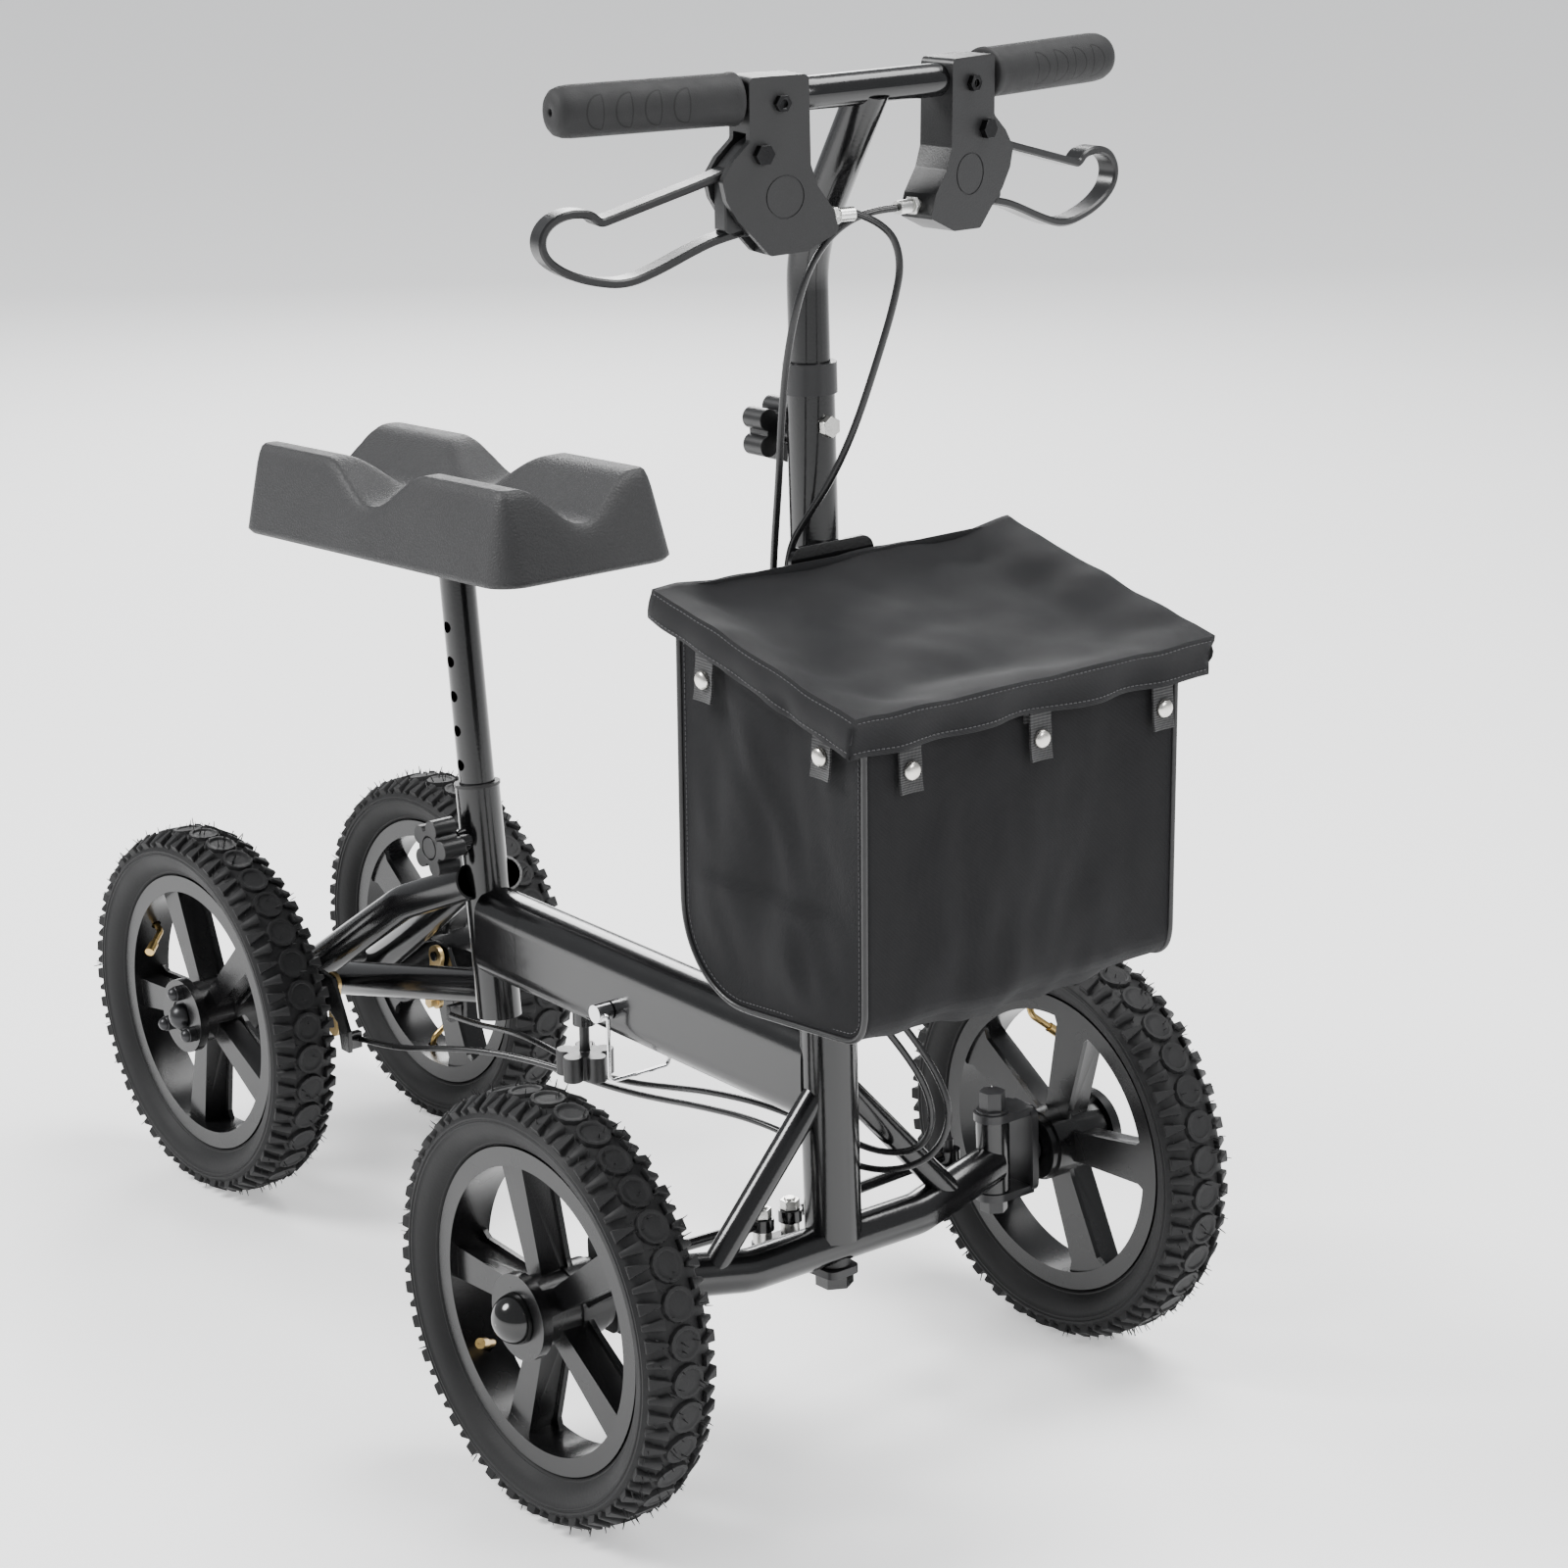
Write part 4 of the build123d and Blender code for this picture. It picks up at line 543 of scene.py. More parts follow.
def whisker_tree():
    """Scatters thin whiskers over the tread: inputs Piece, Count, Radius, Width, Seed and Finish."""
    tree, given = new_tree("vent_whiskers", Piece="Object", Count="Int", Radius="Float", Width="Float",
                           Seed="Int", Finish="Material")  # fmt: skip
    add, join = tree.nodes.new, tree.links.new

    def chance(low, high, shift, kind="FLOAT"):
        """A random number for each whisker, from the tree's seed."""
        made = add("FunctionNodeRandomValue")
        made.data_type = kind
        lowest = [plug for plug in made.inputs if plug.name == "Min"]
        highest = [plug for plug in made.inputs if plug.name == "Max"]
        pick = 0 if kind == "FLOAT_VECTOR" else 1
        lowest[pick].default_value, highest[pick].default_value = low, high
        offset = add("ShaderNodeMath")
        join(given.outputs["Seed"], offset.inputs[0])
        offset.inputs[1].default_value = shift
        join(offset.outputs[0], next(p for p in made.inputs if p.name == "Seed"))
        return next(p for p in made.outputs if p.type == ("VECTOR" if kind == "FLOAT_VECTOR" else "VALUE"))

    def maths(operation, *terms):
        """A Math node on sockets and numbers."""
        made = add("ShaderNodeMath")
        made.operation = operation
        for plug, term in zip(made.inputs, terms):
            if isinstance(term, (int, float)):
                plug.default_value = term
            else:
                join(term, plug)
        return made.outputs[0]

    points = add("GeometryNodePoints")
    join(given.outputs["Count"], points.inputs["Count"])
    angle = chance(0.0, 2 * math.pi, 11)
    across = chance(-1.0, 1.0, 23)
    spot, lean = add("ShaderNodeCombineXYZ"), add("ShaderNodeVectorMath")
    fall = maths("MULTIPLY", maths("POWER", maths("ABSOLUTE", across), 3.0), 0.0085)
    reach = maths("SUBTRACT", given.outputs["Radius"], fall)
    join(maths("MULTIPLY", maths("COSINE", angle), reach), spot.inputs["X"])
    join(maths("MULTIPLY", maths("SINE", angle), reach), spot.inputs["Y"])
    join(maths("MULTIPLY", across, given.outputs["Width"]), spot.inputs["Z"])
    join(spot.outputs[0], points.inputs["Position"])
    lean.operation = "MULTIPLY_ADD"
    join(spot.outputs[0], lean.inputs[0])
    lean.inputs[1].default_value = (1.0, 1.0, 3.2)
    join(chance((-0.05, -0.05, -0.05), (0.05, 0.05, 0.05), 37, "FLOAT_VECTOR"), lean.inputs[2])
    aim = add("FunctionNodeAlignRotationToVector")
    aim.axis = "Z"
    join(lean.outputs[0], aim.inputs["Vector"])
    return copied(tree, given, points.outputs[0], aim.outputs[0], chance(0.5, 1.0, 53))


def merged(name, meshes):
    """One mesh from several."""
    shape = bmesh.new()
    for mesh in meshes:
        shape.from_mesh(mesh)
    return taken(shape, name)


turned_copies, vent_whiskers = repeat_tree(), whisker_tree()
other_side = [(r, -z) for r, z in CARCASS[::-1] + LINING]
tread = [lathe("carcass", CARCASS + other_side + LINING[::-1], 160)]
stud = pattern(stud_mesh())
tread.append(grown(turned_copies, "studs", Piece=stud, Count=STUD_COUNT, Phase=0.0, Finish=rubber.material))
holders = [stud]
for side in (-1, 1):
    for order, name in enumerate(WEDGE_SHAPES):
        wedge = pattern(wedge_mesh(name, side))
        holders.append(wedge)
        phase = 2 * math.pi / WEDGE_COUNT * (order + side * 0.25)
        tread.append(grown(turned_copies, name, Piece=wedge, Count=WEDGE_COUNT // 2, Phase=phase,
                           Finish=rubber.material))  # fmt: skip
spike = pattern(chamfered("spike", [
    (-0.5, -0.5, 0), (0.5, -0.5, 0), (-0.5, 0.5, 0), (0.5, 0.5, 0),
    (0.3, -0.22, 7.4), (0.74, -0.22, 7.4), (0.3, 0.22, 7.4), (0.74, 0.22, 7.4)], BLOCK_FACES, 0.04))  # fmt: skip
holders.append(spike)
WHISKER_ROOT, WHISKER_SPREAD, FLOOR_CLEAR = 0.1512, 0.0255, 0.0008
SPIKE_POINTS = len(spike.data.vertices)


def kept_whiskers(mesh, lowest, rearmost):
    """Drops the whiskers that the floor has worn off, and those past the rear of the scooter."""
    spots = np.empty(len(mesh.vertices) * 3)
    mesh.vertices.foreach_get("co", spots)
    spots = spots.reshape(-1, SPIKE_POINTS, 3)
    good = (spots[:, :, 2].min(axis=1) > lowest) & (spots[:, :, 0].min(axis=1) > rearmost)
    shape = bmesh.new()
    shape.from_mesh(mesh)
    shape.verts.ensure_lookup_table()
    gone = [vert for i, vert in enumerate(shape.verts) if not good[i // SPIKE_POINTS]]
    bmesh.ops.delete(shape, geom=gone, context="VERTS")
    shape.to_mesh(mesh)
    shape.free()
    return mesh


for seed, corner in enumerate(WHEELS):
    hairs = grown(vent_whiskers, "hairs", Piece=spike, Count=WHISKER_COUNT, Radius=WHISKER_ROOT,
                  Width=WHISKER_SPREAD, Seed=seed + 5, Finish=rubber.material)  # fmt: skip
    hairs.transform(wheel_place(corner))
    hairs = kept_whiskers(hairs, FLOOR_CLEAR, cad_box[0][0] + 0.0005)
    solid_tread = merged("solid_tread", tread)
    solid_tread.transform(wheel_place(corner))
    tyre_piece = link(
        f"tread_tyre_{corner}", smooth(merged(f"tyre_{corner}", [solid_tread, hairs]), 42.0), rubber,
        f"wheel_{corner}",
    )  # fmt: skip
    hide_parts(f"tyre_{corner}")
for holder in holders:
    bpy.data.objects.remove(holder)

# ---------------------------------------------------------------- basket bag
# A bag of black coated nylon, sewn from two side panels and one long panel that runs down the back,
# under and up the front. Corded piping covers both seams. It hangs from the hoop, and sags a little.
BAG_REAR, BAG_FRONT, BAG_SIDE, BAG_CLOTH = 0.3102, 0.4995, 0.134, 0.0013
BAG_LOW, BAG_TOP, REAR_TURN, FRONT_TURN = 0.366, 0.6415, 0.062, 0.018
HOOP_SLOPE = math.tan(math.radians(11.5))
SLOT_HALF, SLOT_LOW, SLOT_HIGH = 0.0275, 0.5945, 0.6295
PANEL_ROWS, PANEL_COLUMNS, PANEL_TOP, PIPING_RADIUS = 36, 40, 0.6115, 0.0021
FLOOR_START, FLOOR_SLOPE = 0.372, 0.085
nylon = Finish("bag_nylon", (0.006, 0.006, 0.0068), 0.62,
               Sheen_Weight=0.03, Sheen_Roughness=0.4, Specular_IOR_Level=0.16)  # fmt: skip
flat_u, flat_v, _ = nylon.axes(nylon.node("UVMap"))
THREAD = 2 * math.pi / 0.00085
warp, weft = (flat_u * THREAD).wave(), (flat_v * THREAD).wave()
scuff = nylon.grain(22.0, 6.0)
nylon.tint(scuff * 0.7 + warp * 0.3, (0.0042, 0.0042, 0.0048), (0.0092, 0.0092, 0.0104))
nylon.rough(0.54 + scuff * 0.16 + weft * 0.04)
nylon.relief(warp * weft + nylon.grain(60.0, 4.0) * 1.2, 0.00022)


def mouth_level(x):
    """The height of the bag's mouth, under the sloping hoop."""
    return 0.608 - (x - 0.314) * HOOP_SLOPE


def turned(centre, radius, start, steps):
    """Points round a quarter turn of the bag's outline, from start degrees on."""
    angles = [math.radians(start + 90 * step / steps) for step in range(1, steps)]
    return [(centre[0] + radius * math.cos(a), centre[1] + radius * math.sin(a)) for a in angles]


def stepped(low, high, count):
    """Evenly spaced values, both ends among them."""
    return [low + (high - low) * i / count for i in range(count + 1)]


rear_line = [(BAG_REAR, z) for z in (BAG_TOP, 0.6355, SLOT_HIGH, 0.621, 0.612, 0.603, SLOT_LOW)]
rear_line += [(BAG_REAR, z) for z in stepped(0.586, BAG_LOW + REAR_TURN, 18)]
floor_xs = stepped(BAG_REAR + REAR_TURN, BAG_FRONT - FRONT_TURN, 14)
floor_line = [(x, BAG_LOW + (x - FLOOR_START) * FLOOR_SLOPE) for x in floor_xs]
front_foot = floor_line[-1][1] + FRONT_TURN
front_line = [(BAG_FRONT, z) for z in stepped(front_foot, mouth_level(BAG_FRONT) + 0.004, 26)]
outline = rear_line + turned((BAG_REAR + REAR_TURN, BAG_LOW + REAR_TURN), REAR_TURN, 180, 12) + floor_line
outline += turned((BAG_FRONT - FRONT_TURN, front_foot), FRONT_TURN, 270, 5) + front_line
run = [0.0]
for (x0, z0), (x1, z1) in zip(outline, outline[1:]):
    run.append(run[-1] + math.hypot(x1 - x0, z1 - z0))


def eased_edge(value, low, high, width):
    """0 at both ends of a range and 1 once it is width away from them."""
    share = min(1.0, max(0.0, min(value - low, high - value) / width))
    return share * share * (3 - 2 * share)


def fold(x, y, z, seed):
    """Soft creases in the cloth, between -1 and 1, longer up and down than across."""
    broad = noise.noise(Vector((x * 17, y * 17, z * 7 + seed)))
    fine = noise.noise(Vector((x * 48 + z * 16, y * 48, z * 22 + seed)))
    return broad * 1.25 + fine * 0.35


def long_panel_spot(i, y):
    """A point of the panel that runs down the back, under and up the front."""
    x, z = outline[i]
    before, after = outline[max(0, i - 1)], outline[min(len(outline) - 1, i + 1)]
    along = Vector((after[0] - before[0], 0, after[1] - before[1])).normalized()
    out = Vector((along.z, 0, -along.x))
    middle = eased_edge(y, -BAG_SIDE, BAG_SIDE, 0.075)
    drop = (BAG_TOP - z) / (BAG_TOP - BAG_LOW)
    front = 1.0 if x > 0.46 else 0.0
    below = 0.35 + 0.65 * min(1.0, max(0.0, drop))
    puff = 0.0042 * math.sin(math.pi * min(1.0, max(0.0, (0.57 - z) / 0.21))) * front
    sag = 0.005 if z < 0.39 and x < 0.49 else 0.0
    pleat = fold(x, y, z, 3.0) * (0.0078 * below if front else 0.0016) - 0.0022 * front
    if x < BAG_REAR + 0.001:
        pleat, sag = min(0.0, pleat) - 0.0006, 0.0
    return Vector((x, y, z)) + out * (middle * (pleat + puff + sag))


def side_panel(sign):
    """A side panel: rows across it, from the rear seam to the front seam, at each height."""
    rows = []
    for row in range(PANEL_ROWS + 1):
        z = BAG_LOW + (PANEL_TOP - BAG_LOW) * (row / PANEL_ROWS) ** 1.15
        rear, front = BAG_REAR, BAG_FRONT
        if z < BAG_LOW + REAR_TURN:
            rear = BAG_REAR + REAR_TURN - math.sqrt(max(0.0, REAR_TURN**2 - (BAG_LOW + REAR_TURN - z) ** 2))
        if z < front_foot:
            under = max(0.0, FRONT_TURN**2 - (front_foot - z) ** 2)
            front = BAG_FRONT - FRONT_TURN + math.sqrt(under)
            if z < front_foot - FRONT_TURN:
                front = FLOOR_START + (z - BAG_LOW) / FLOOR_SLOPE
        front = min(front, 0.314 + (0.612 - z) / HOOP_SLOPE)
        row_spots = []
        for column in range(PANEL_COLUMNS + 1):
            x = rear + (front - rear) * column / PANEL_COLUMNS
            inside = eased_edge(x, rear, front, 0.06) * eased_edge(z, BAG_LOW, mouth_level(x) + 0.03, 0.045)
            swell = 0.0045 * math.sin(math.pi * min(1.0, max(0.0, (z - 0.37) / 0.16))) - 0.0038 * (z > 0.45)
            crease = fold(x, sign * 0.3, z, 9.0) * 0.0085
            out = inside * (swell + crease)
            row_spots.append(Vector((x, sign * (BAG_SIDE + out), z)))
        rows.append(row_spots)
    return rows


def cloth(name, rows, flats, skip=lambda spot: False):
    """Joins rows of points into a sheet whose UV map is its flat pattern in metres."""
    shape = bmesh.new()
    pattern_map = shape.loops.layers.uv.new("flat")
    made = [[shape.verts.new(spot) for spot in row] for row in rows]
    for i in range(len(rows) - 1):
        for j in range(len(rows[0]) - 1):
            corners = ((i, j), (i + 1, j), (i + 1, j + 1), (i, j + 1))
            middle = sum((rows[a][b] for a, b in corners), Vector()) / 4
            if skip(middle):
                continue
            face = shape.faces.new([made[a][b] for a, b in corners])
            for loop, (a, b) in zip(face.loops, corners):
                loop[pattern_map].uv = flats(a, b)
    bmesh.ops.delete(shape, geom=[v for v in shape.verts if not v.link_faces], context="VERTS")
    return taken(shape, name)


def facing(mesh, middle):
    """Turns a sheet's faces away from a point."""
    total = sum((poly.center - middle).dot(poly.normal) * poly.area for poly in mesh.polygons)
    if total < 0:
        mesh.flip_normals()
    return mesh


def in_slot(spot):
    """Whether a point lies in the slot that the bracket passes through."""
    return abs(spot.y) < SLOT_HALF and SLOT_LOW < spot.z < SLOT_HIGH and spot.x < 0.33


def line_through(name, points, kind="NURBS", steps=8):
    """A hidden line that points steer: a smooth NURBS spline, or a POLY line from point to point."""
    line = bpy.data.curves.new(name, "CURVE")
    line.dimensions, line.resolution_u = "3D", steps
    spline = line.splines.new(kind)
    spline.points.add(len(points) - 1)
    for held, spot in zip(spline.points, points):
        held.co = (*spot, 1.0)
    if kind == "NURBS":
        spline.order_u, spline.use_endpoint_u = 3, True
    return added(name, line)


def tube_along(name, points, radius, sides=4):
    """A round tube on a smooth spline through a route."""
    carrier = line_through(name, points)
    line = carrier.data
    line.bevel_depth, line.bevel_resolution, line.use_fill_caps = radius, sides, True
    return smooth(outward(as_mesh(carrier)), 60.0)


across = sorted([*stepped(-BAG_SIDE, BAG_SIDE, 44), -SLOT_HALF, SLOT_HALF])
long_rows = [[long_panel_spot(i, y) for y in across] for i in range(len(outline))]
bag_middle = Vector((0.405, 0.0, 0.48))
panels = [facing(cloth("long_panel", long_rows, lambda a, b: (across[b], run[a]), in_slot), bag_middle)]
for side in (-1, 1):
    rows = side_panel(side)
    panels.append(facing(cloth("side_panel", rows, lambda a, b: (rows[a][b].x, rows[a][b].z)), bag_middle))
bag = link("bag_shell", smooth(merged("bag_shell", panels), 70.0), nylon, "column")
wall = bag.modifiers.new("cloth", "SOLIDIFY")
wall.thickness, wall.offset = BAG_CLOTH, -1.0
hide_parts("basket_bag")
piping_vinyl = Finish("piping_vinyl", (0.009, 0.009, 0.0095), 0.33)
piping_vinyl.rough(0.28 + piping_vinyl.grain(180.0, 2.0) * 0.16)
piping_vinyl.relief(piping_vinyl.grain(300.0, 3.0), 0.0002)
seam_line = [spot for i, spot in enumerate(outline) if i >= 4 and (i % 2 == 0 or i > len(outline) - 3)]
for side, name in ((-1, "right"), (1, "left")):
    points = [Vector((x, side * (BAG_SIDE + 0.0002), z)) for x, z in seam_line]
    piping = tube_along("piping", points, PIPING_RADIUS)
    link(f"bag_piping_{name}", piping, piping_vinyl, "column")

# ---------------------------------------------------------------- bag lid
# One sheet of the same nylon, boxed at its two front corners, with a hem that is stitched twice. Its
# rear edge is the hinge. It lies slack over the hoop, so its top dips between its edges.
LID_SLOPE = math.radians(12.5)
LID_HINGE, LID_CLOTH = Vector((0.3094, 0.0, 0.6448)), 0.0012
LID_HALF, LID_LONG, LID_DROP = 0.1545, 0.2108, 0.027
lid_along = Vector((math.cos(LID_SLOPE), 0.0, -math.sin(LID_SLOPE)))
lid_up = Vector((math.sin(LID_SLOPE), 0.0, math.cos(LID_SLOPE)))
# The lid is the bag's nylon, but its colours are set a little lighter: painted light, for the light that falls on
# its top.
lid_nylon = Finish("lid_nylon", (0.007, 0.007, 0.0078), 0.6,
                   Sheen_Weight=0.04, Sheen_Roughness=0.35, Specular_IOR_Level=0.2)  # fmt: skip
lid_u, lid_v, _ = lid_nylon.axes(lid_nylon.node("UVMap"))
lid_warp, lid_weft = (lid_u * THREAD).wave(), (lid_v * THREAD).wave()
lid_dust = lid_nylon.grain(26.0, 6.0)
lid_nylon.tint(lid_dust * 0.65 + lid_weft * 0.35, (0.0048, 0.0048, 0.0055), (0.0105, 0.0105, 0.0118))
lid_nylon.rough(0.52 + lid_dust * 0.18 + lid_warp * 0.04)
lid_nylon.relief(lid_warp * lid_weft + lid_nylon.grain(70.0, 4.0) * 1.1, 0.00022)


def lid_spot(a, b):
    """The place of a point a along the flat lid from its hinge and b across it."""
    past_front, past_side = max(0.0, a - LID_LONG), max(0.0, abs(b) - LID_HALF)
    on_a, on_b = min(a, LID_LONG), max(-LID_HALF, min(LID_HALF, b))
    rim = eased_edge(on_a, -0.02, LID_LONG, 0.05) * eased_edge(on_b, -LID_HALF, LID_HALF, 0.055)
    dip = 0.0125 * rim + 0.0034 * rim * noise.noise(Vector((on_a * 20, on_b * 13, 2.0)))
    ripple = 0.0017 * noise.noise(Vector((on_a * 34, on_b * 34, 7.0)))
    corner_lift = 0.0022 * math.exp(-((LID_LONG - on_a) ** 2 + (LID_HALF - abs(on_b)) ** 2) / 0.0005)
    hinge_wave = 0.0016 * math.exp(-on_a / 0.02) * math.sin(on_b * 46)
    height = min(0.0012, corner_lift + hinge_wave + ripple) - dip
    down = max(past_front, past_side * (0.8 + 0.2 * on_a / LID_LONG) if past_side else 0.0)
    share = down / LID_DROP
    wander = noise.noise(Vector((on_a * 26, on_b * 26, 5.0)))
    lean = 0.0058 * wander * share - 0.0022 * math.sin(math.pi * share)
    spot = LID_HINGE + lid_along * on_a + Vector((0.0, on_b, 0.0)) + lid_up * (height * (1 - share) - down)
    if past_front > 0:
        spot += lid_along * (lean + 0.0006)
    if past_side > 0:
        spot.y += math.copysign(lean + 0.0006, b)
    return spot


def past_edge(high, steps=7):
    """Flat positions close together over a folded edge."""
    return [high + LID_DROP * step / steps for step in range(1, steps + 1)]


lid_as = stepped(0.0, LID_LONG, 44) + past_edge(LID_LONG)
lid_side_bs = past_edge(LID_HALF)
lid_bs = [-b for b in lid_side_bs[::-1]] + stepped(-LID_HALF, LID_HALF, 62) + lid_side_bs


def in_corner(i, j):
    """Whether a square of the lid's grid lies in one of the two corners that are cut out."""
    beside = lid_bs[j + 1] <= -LID_HALF + 1e-6 or lid_bs[j] >= LID_HALF - 1e-6
    return beside and lid_as[i] >= LID_LONG - 1e-6


shape = bmesh.new()
flat_map = shape.loops.layers.uv.new("flat")
made = [[shape.verts.new(lid_spot(a, b)) for b in lid_bs] for a in lid_as]
for i in range(len(lid_as) - 1):
    for j in range(len(lid_bs) - 1):
        if in_corner(i, j):
            continue
        corners = ((i, j), (i, j + 1), (i + 1, j + 1), (i + 1, j))
        face = shape.faces.new([made[a][b] for a, b in corners])
        for loop, (a, b) in zip(face.loops, corners):
            loop[flat_map].uv = (lid_bs[b], lid_as[a])
bmesh.ops.delete(shape, geom=[v for v in shape.verts if not v.link_faces], context="VERTS")
bmesh.ops.remove_doubles(shape, verts=shape.verts, dist=0.0016)
lid_mesh = facing(taken(shape, "lid_sheet"), Vector((0.41, 0.0, 0.55)))
lid = link("lid_sheet", smooth(lid_mesh, 80.0), lid_nylon, "lid")
wall = lid.modifiers.new("cloth", "SOLIDIFY")
wall.thickness, wall.offset = LID_CLOTH, -1.0
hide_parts("bag_lid")


def stitch_tree():
    """Lays stitches along a seam: inputs Seam, Piece, Pitch and Finish."""
    tree, given = new_tree("stitches", Seam="Object", Piece="Object", Pitch="Float", Finish="Material")
    add, join = tree.nodes.new, tree.links.new
    seam, spots = add("GeometryNodeObjectInfo"), add("GeometryNodeCurveToPoints")
    spots.mode = "LENGTH"
    join(given.outputs["Seam"], seam.inputs["Object"])
    join(seam.outputs["Geometry"], spots.inputs["Curve"])
    join(given.outputs["Pitch"], spots.inputs["Length"])
    return copied(tree, given, spots.outputs["Points"], spots.outputs["Rotation"])


def sewn_along(points):
    """The stitches of one seam."""
    seam = line_through("seam", points, "POLY")
    bpy.context.view_layer.update()
    row = grown(stitches, "sewn", Seam=seam, Piece=stitch, Pitch=STITCH_PITCH, Finish=thread.material)
    bpy.data.objects.remove(seam)
    return row


STITCH_HALF, STITCH_LONG, STITCH_PITCH = 0.28, 1.15, 0.0036
thread = Finish("bonded_thread", (0.03, 0.03, 0.033), 0.5, Sheen_Weight=0.3)
thread.rough(0.42 + thread.grain(900.0) * 0.2)
thread.relief(thread.grain(2600.0, 2.0), 0.00008)
stitches = stitch_tree()
stitch_corners = [(x * STITCH_HALF, y * STITCH_HALF, z * STITCH_LONG)
                  for z in (-1, 1) for y in (-1, 1) for x in (-1, 1)]  # fmt: skip
stitch = pattern(chamfered("stitch", stitch_corners, BLOCK_FACES, 0.14))
lid_seams = []
for inset in (0.0035, 0.0235):
    front_b = stepped(-LID_HALF + 0.004, LID_HALF - 0.004, 90)
    lid_seams.append([lid_spot(LID_LONG + inset, b) + lid_along * 0.0001 for b in front_b])
    for sign in (-1, 1):
        side_a = stepped(0.004, LID_LONG - 0.004, 60)
        edge = [lid_spot(a, sign * (LID_HALF + inset)) for a in side_a]
        lid_seams.append([spot + Vector((0, sign * 0.0001, 0)) for spot in edge])
sewn = [sewn_along(line) for line in lid_seams]
link("lid_stitching", smooth(merged("lid_stitching", sewn)), thread, "lid")
sewn = []
for side in (-1, 1):
    beside = [Vector((x, side * (BAG_SIDE + 0.0002), z)) for x, z in outline[4:]]
    inner = []
    for i, spot in enumerate(beside):
        before, after = beside[max(0, i - 1)], beside[min(len(beside) - 1, i + 1)]
        along = (after - before).normalized()
        inner.append(spot - Vector((along.z, 0, -along.x)) * 0.0055)
    sewn.append(sewn_along(inner))
link("bag_stitching", smooth(merged("bag_stitching", sewn)), thread, "column")
bpy.data.objects.remove(stitch)

# ---------------------------------------------------------------- snap tabs
# Seven tabs of ribbed webbing loop over the hoop and close on the bag with nickel-plated snap caps.
TAB_HALF, TAB_THICK = 0.009, 0.0015
TAB_SPOTS = [("side", sign, x) for sign in (-1, 1) for x in (0.3441, 0.4644)]
TAB_SPOTS += [("front", 1, y) for y in (-0.100, 0.010, 0.119)]
webbing = Finish("tab_webbing", (0.012, 0.012, 0.0125), 0.75, Sheen_Weight=0.3)
web_u, web_v, _ = webbing.axes(webbing.node("UVMap"))
rib_with_painted_shade = (web_v * (2 * math.pi / 0.0016)).wave()
# The colour follows the ribs: painted shade in the grooves between them and a painted highlight on their crests.
webbing.tint(rib_with_painted_shade, (0.006, 0.006, 0.0065), (0.024, 0.024, 0.025))
webbing.rough(0.66 + webbing.grain(500.0) * 0.2)
webbing.relief(rib_with_painted_shade + (web_u * (2 * math.pi / 0.0011)).wave() * 0.4, 0.0003)
nickel = Finish("snap_nickel", (0.78, 0.76, 0.72), 0.22, 1.0)
nickel.tint(nickel.grain(140.0, 4.0), (0.6, 0.58, 0.53), (0.86, 0.84, 0.8))
nickel.rough(0.14 + nickel.grain(260.0, 4.0) * 0.22)
nickel.relief(nickel.grain(420.0, 3.0), 0.00006)
TAB_PATH = [
    (-5.4, -14.0), (-5.3, -4.0), (-5.1, 4.0), (-4.4, 7.6), (-2.4, 8.6), (0.1, 8.2), (1.2, 6.4), (1.35, 2.0),
    (1.35, -5.0), (1.45, -13.0), (1.6, -20.0), (1.7, -27.0), (2.3, -33.0), (3.4, -38.5),
]  # fmt: skip
SNAP_SECTION = [
    (0.0, 4.6), (2.0, 4.5), (4.2, 4.1), (5.6, 3.3), (6.3, 2.2), (6.5, 1.2), (6.3, 0.4), (5.6, 0.0), (0.0, 0.0),
]  # fmt: skip
tab_meshes, snap_meshes = [], []
for kind, sign, spot in TAB_SPOTS:
    x = spot if kind == "side" else 0.5023
    level = 0.617 - (x - 0.314) * HOOP_SLOPE
    if kind == "side":
        place, out, wide = Vector((x, sign * 0.1383, level)), Vector((0, sign, 0)), Vector((1, 0, 0))
    else:
        place, out, wide = Vector((x, spot, level)), Vector((1, 0, 0)), Vector((0, 1, 0))
    rows, lengths = [], []
    for n, (away, high) in enumerate(TAB_PATH):
        row = []
        for share in stepped(-1.0, 1.0, 8):
            curl = 0.0007 * share * share * (n > 9)
            row.append(place + out * (away / 1000 + curl) + wide * (TAB_HALF * share) + Vector((0, 0, high / 1000)))
        rows.append(row)
        lengths.append(n * 0.006)
    tab = cloth("tab", rows, lambda a, b: ((b - 4) * TAB_HALF / 4, lengths[a]))
    middle = place + out * -0.002 + Vector((0, 0, -0.012))
    shape = bmesh.new()
    shape.from_mesh(facing(tab, middle))
    bmesh.ops.solidify(shape, geom=shape.faces[:], thickness=TAB_THICK)
    shape.to_mesh(tab)
    shape.free()
    tab_meshes.append(outward(tab))
    cap = lathe("cap", SNAP_SECTION, 28, closed=False)
    side_axis = out.cross(Vector((0, 0, 1)))
    turn = Matrix((side_axis, Vector((0, 0, 1)), out)).transposed().to_4x4()
    cap.transform(Matrix.Translation(place + out * 0.0019 + Vector((0, 0, -0.024))) @ turn)
    snap_meshes.append(outward(cap))
tabs = link("webbing_tabs", smooth(merged("tabs", tab_meshes), 50.0), webbing, "column")
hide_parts("bag_snaps")
link("snap_caps", smooth(merged("snaps", snap_meshes), 50.0), nickel, "column")

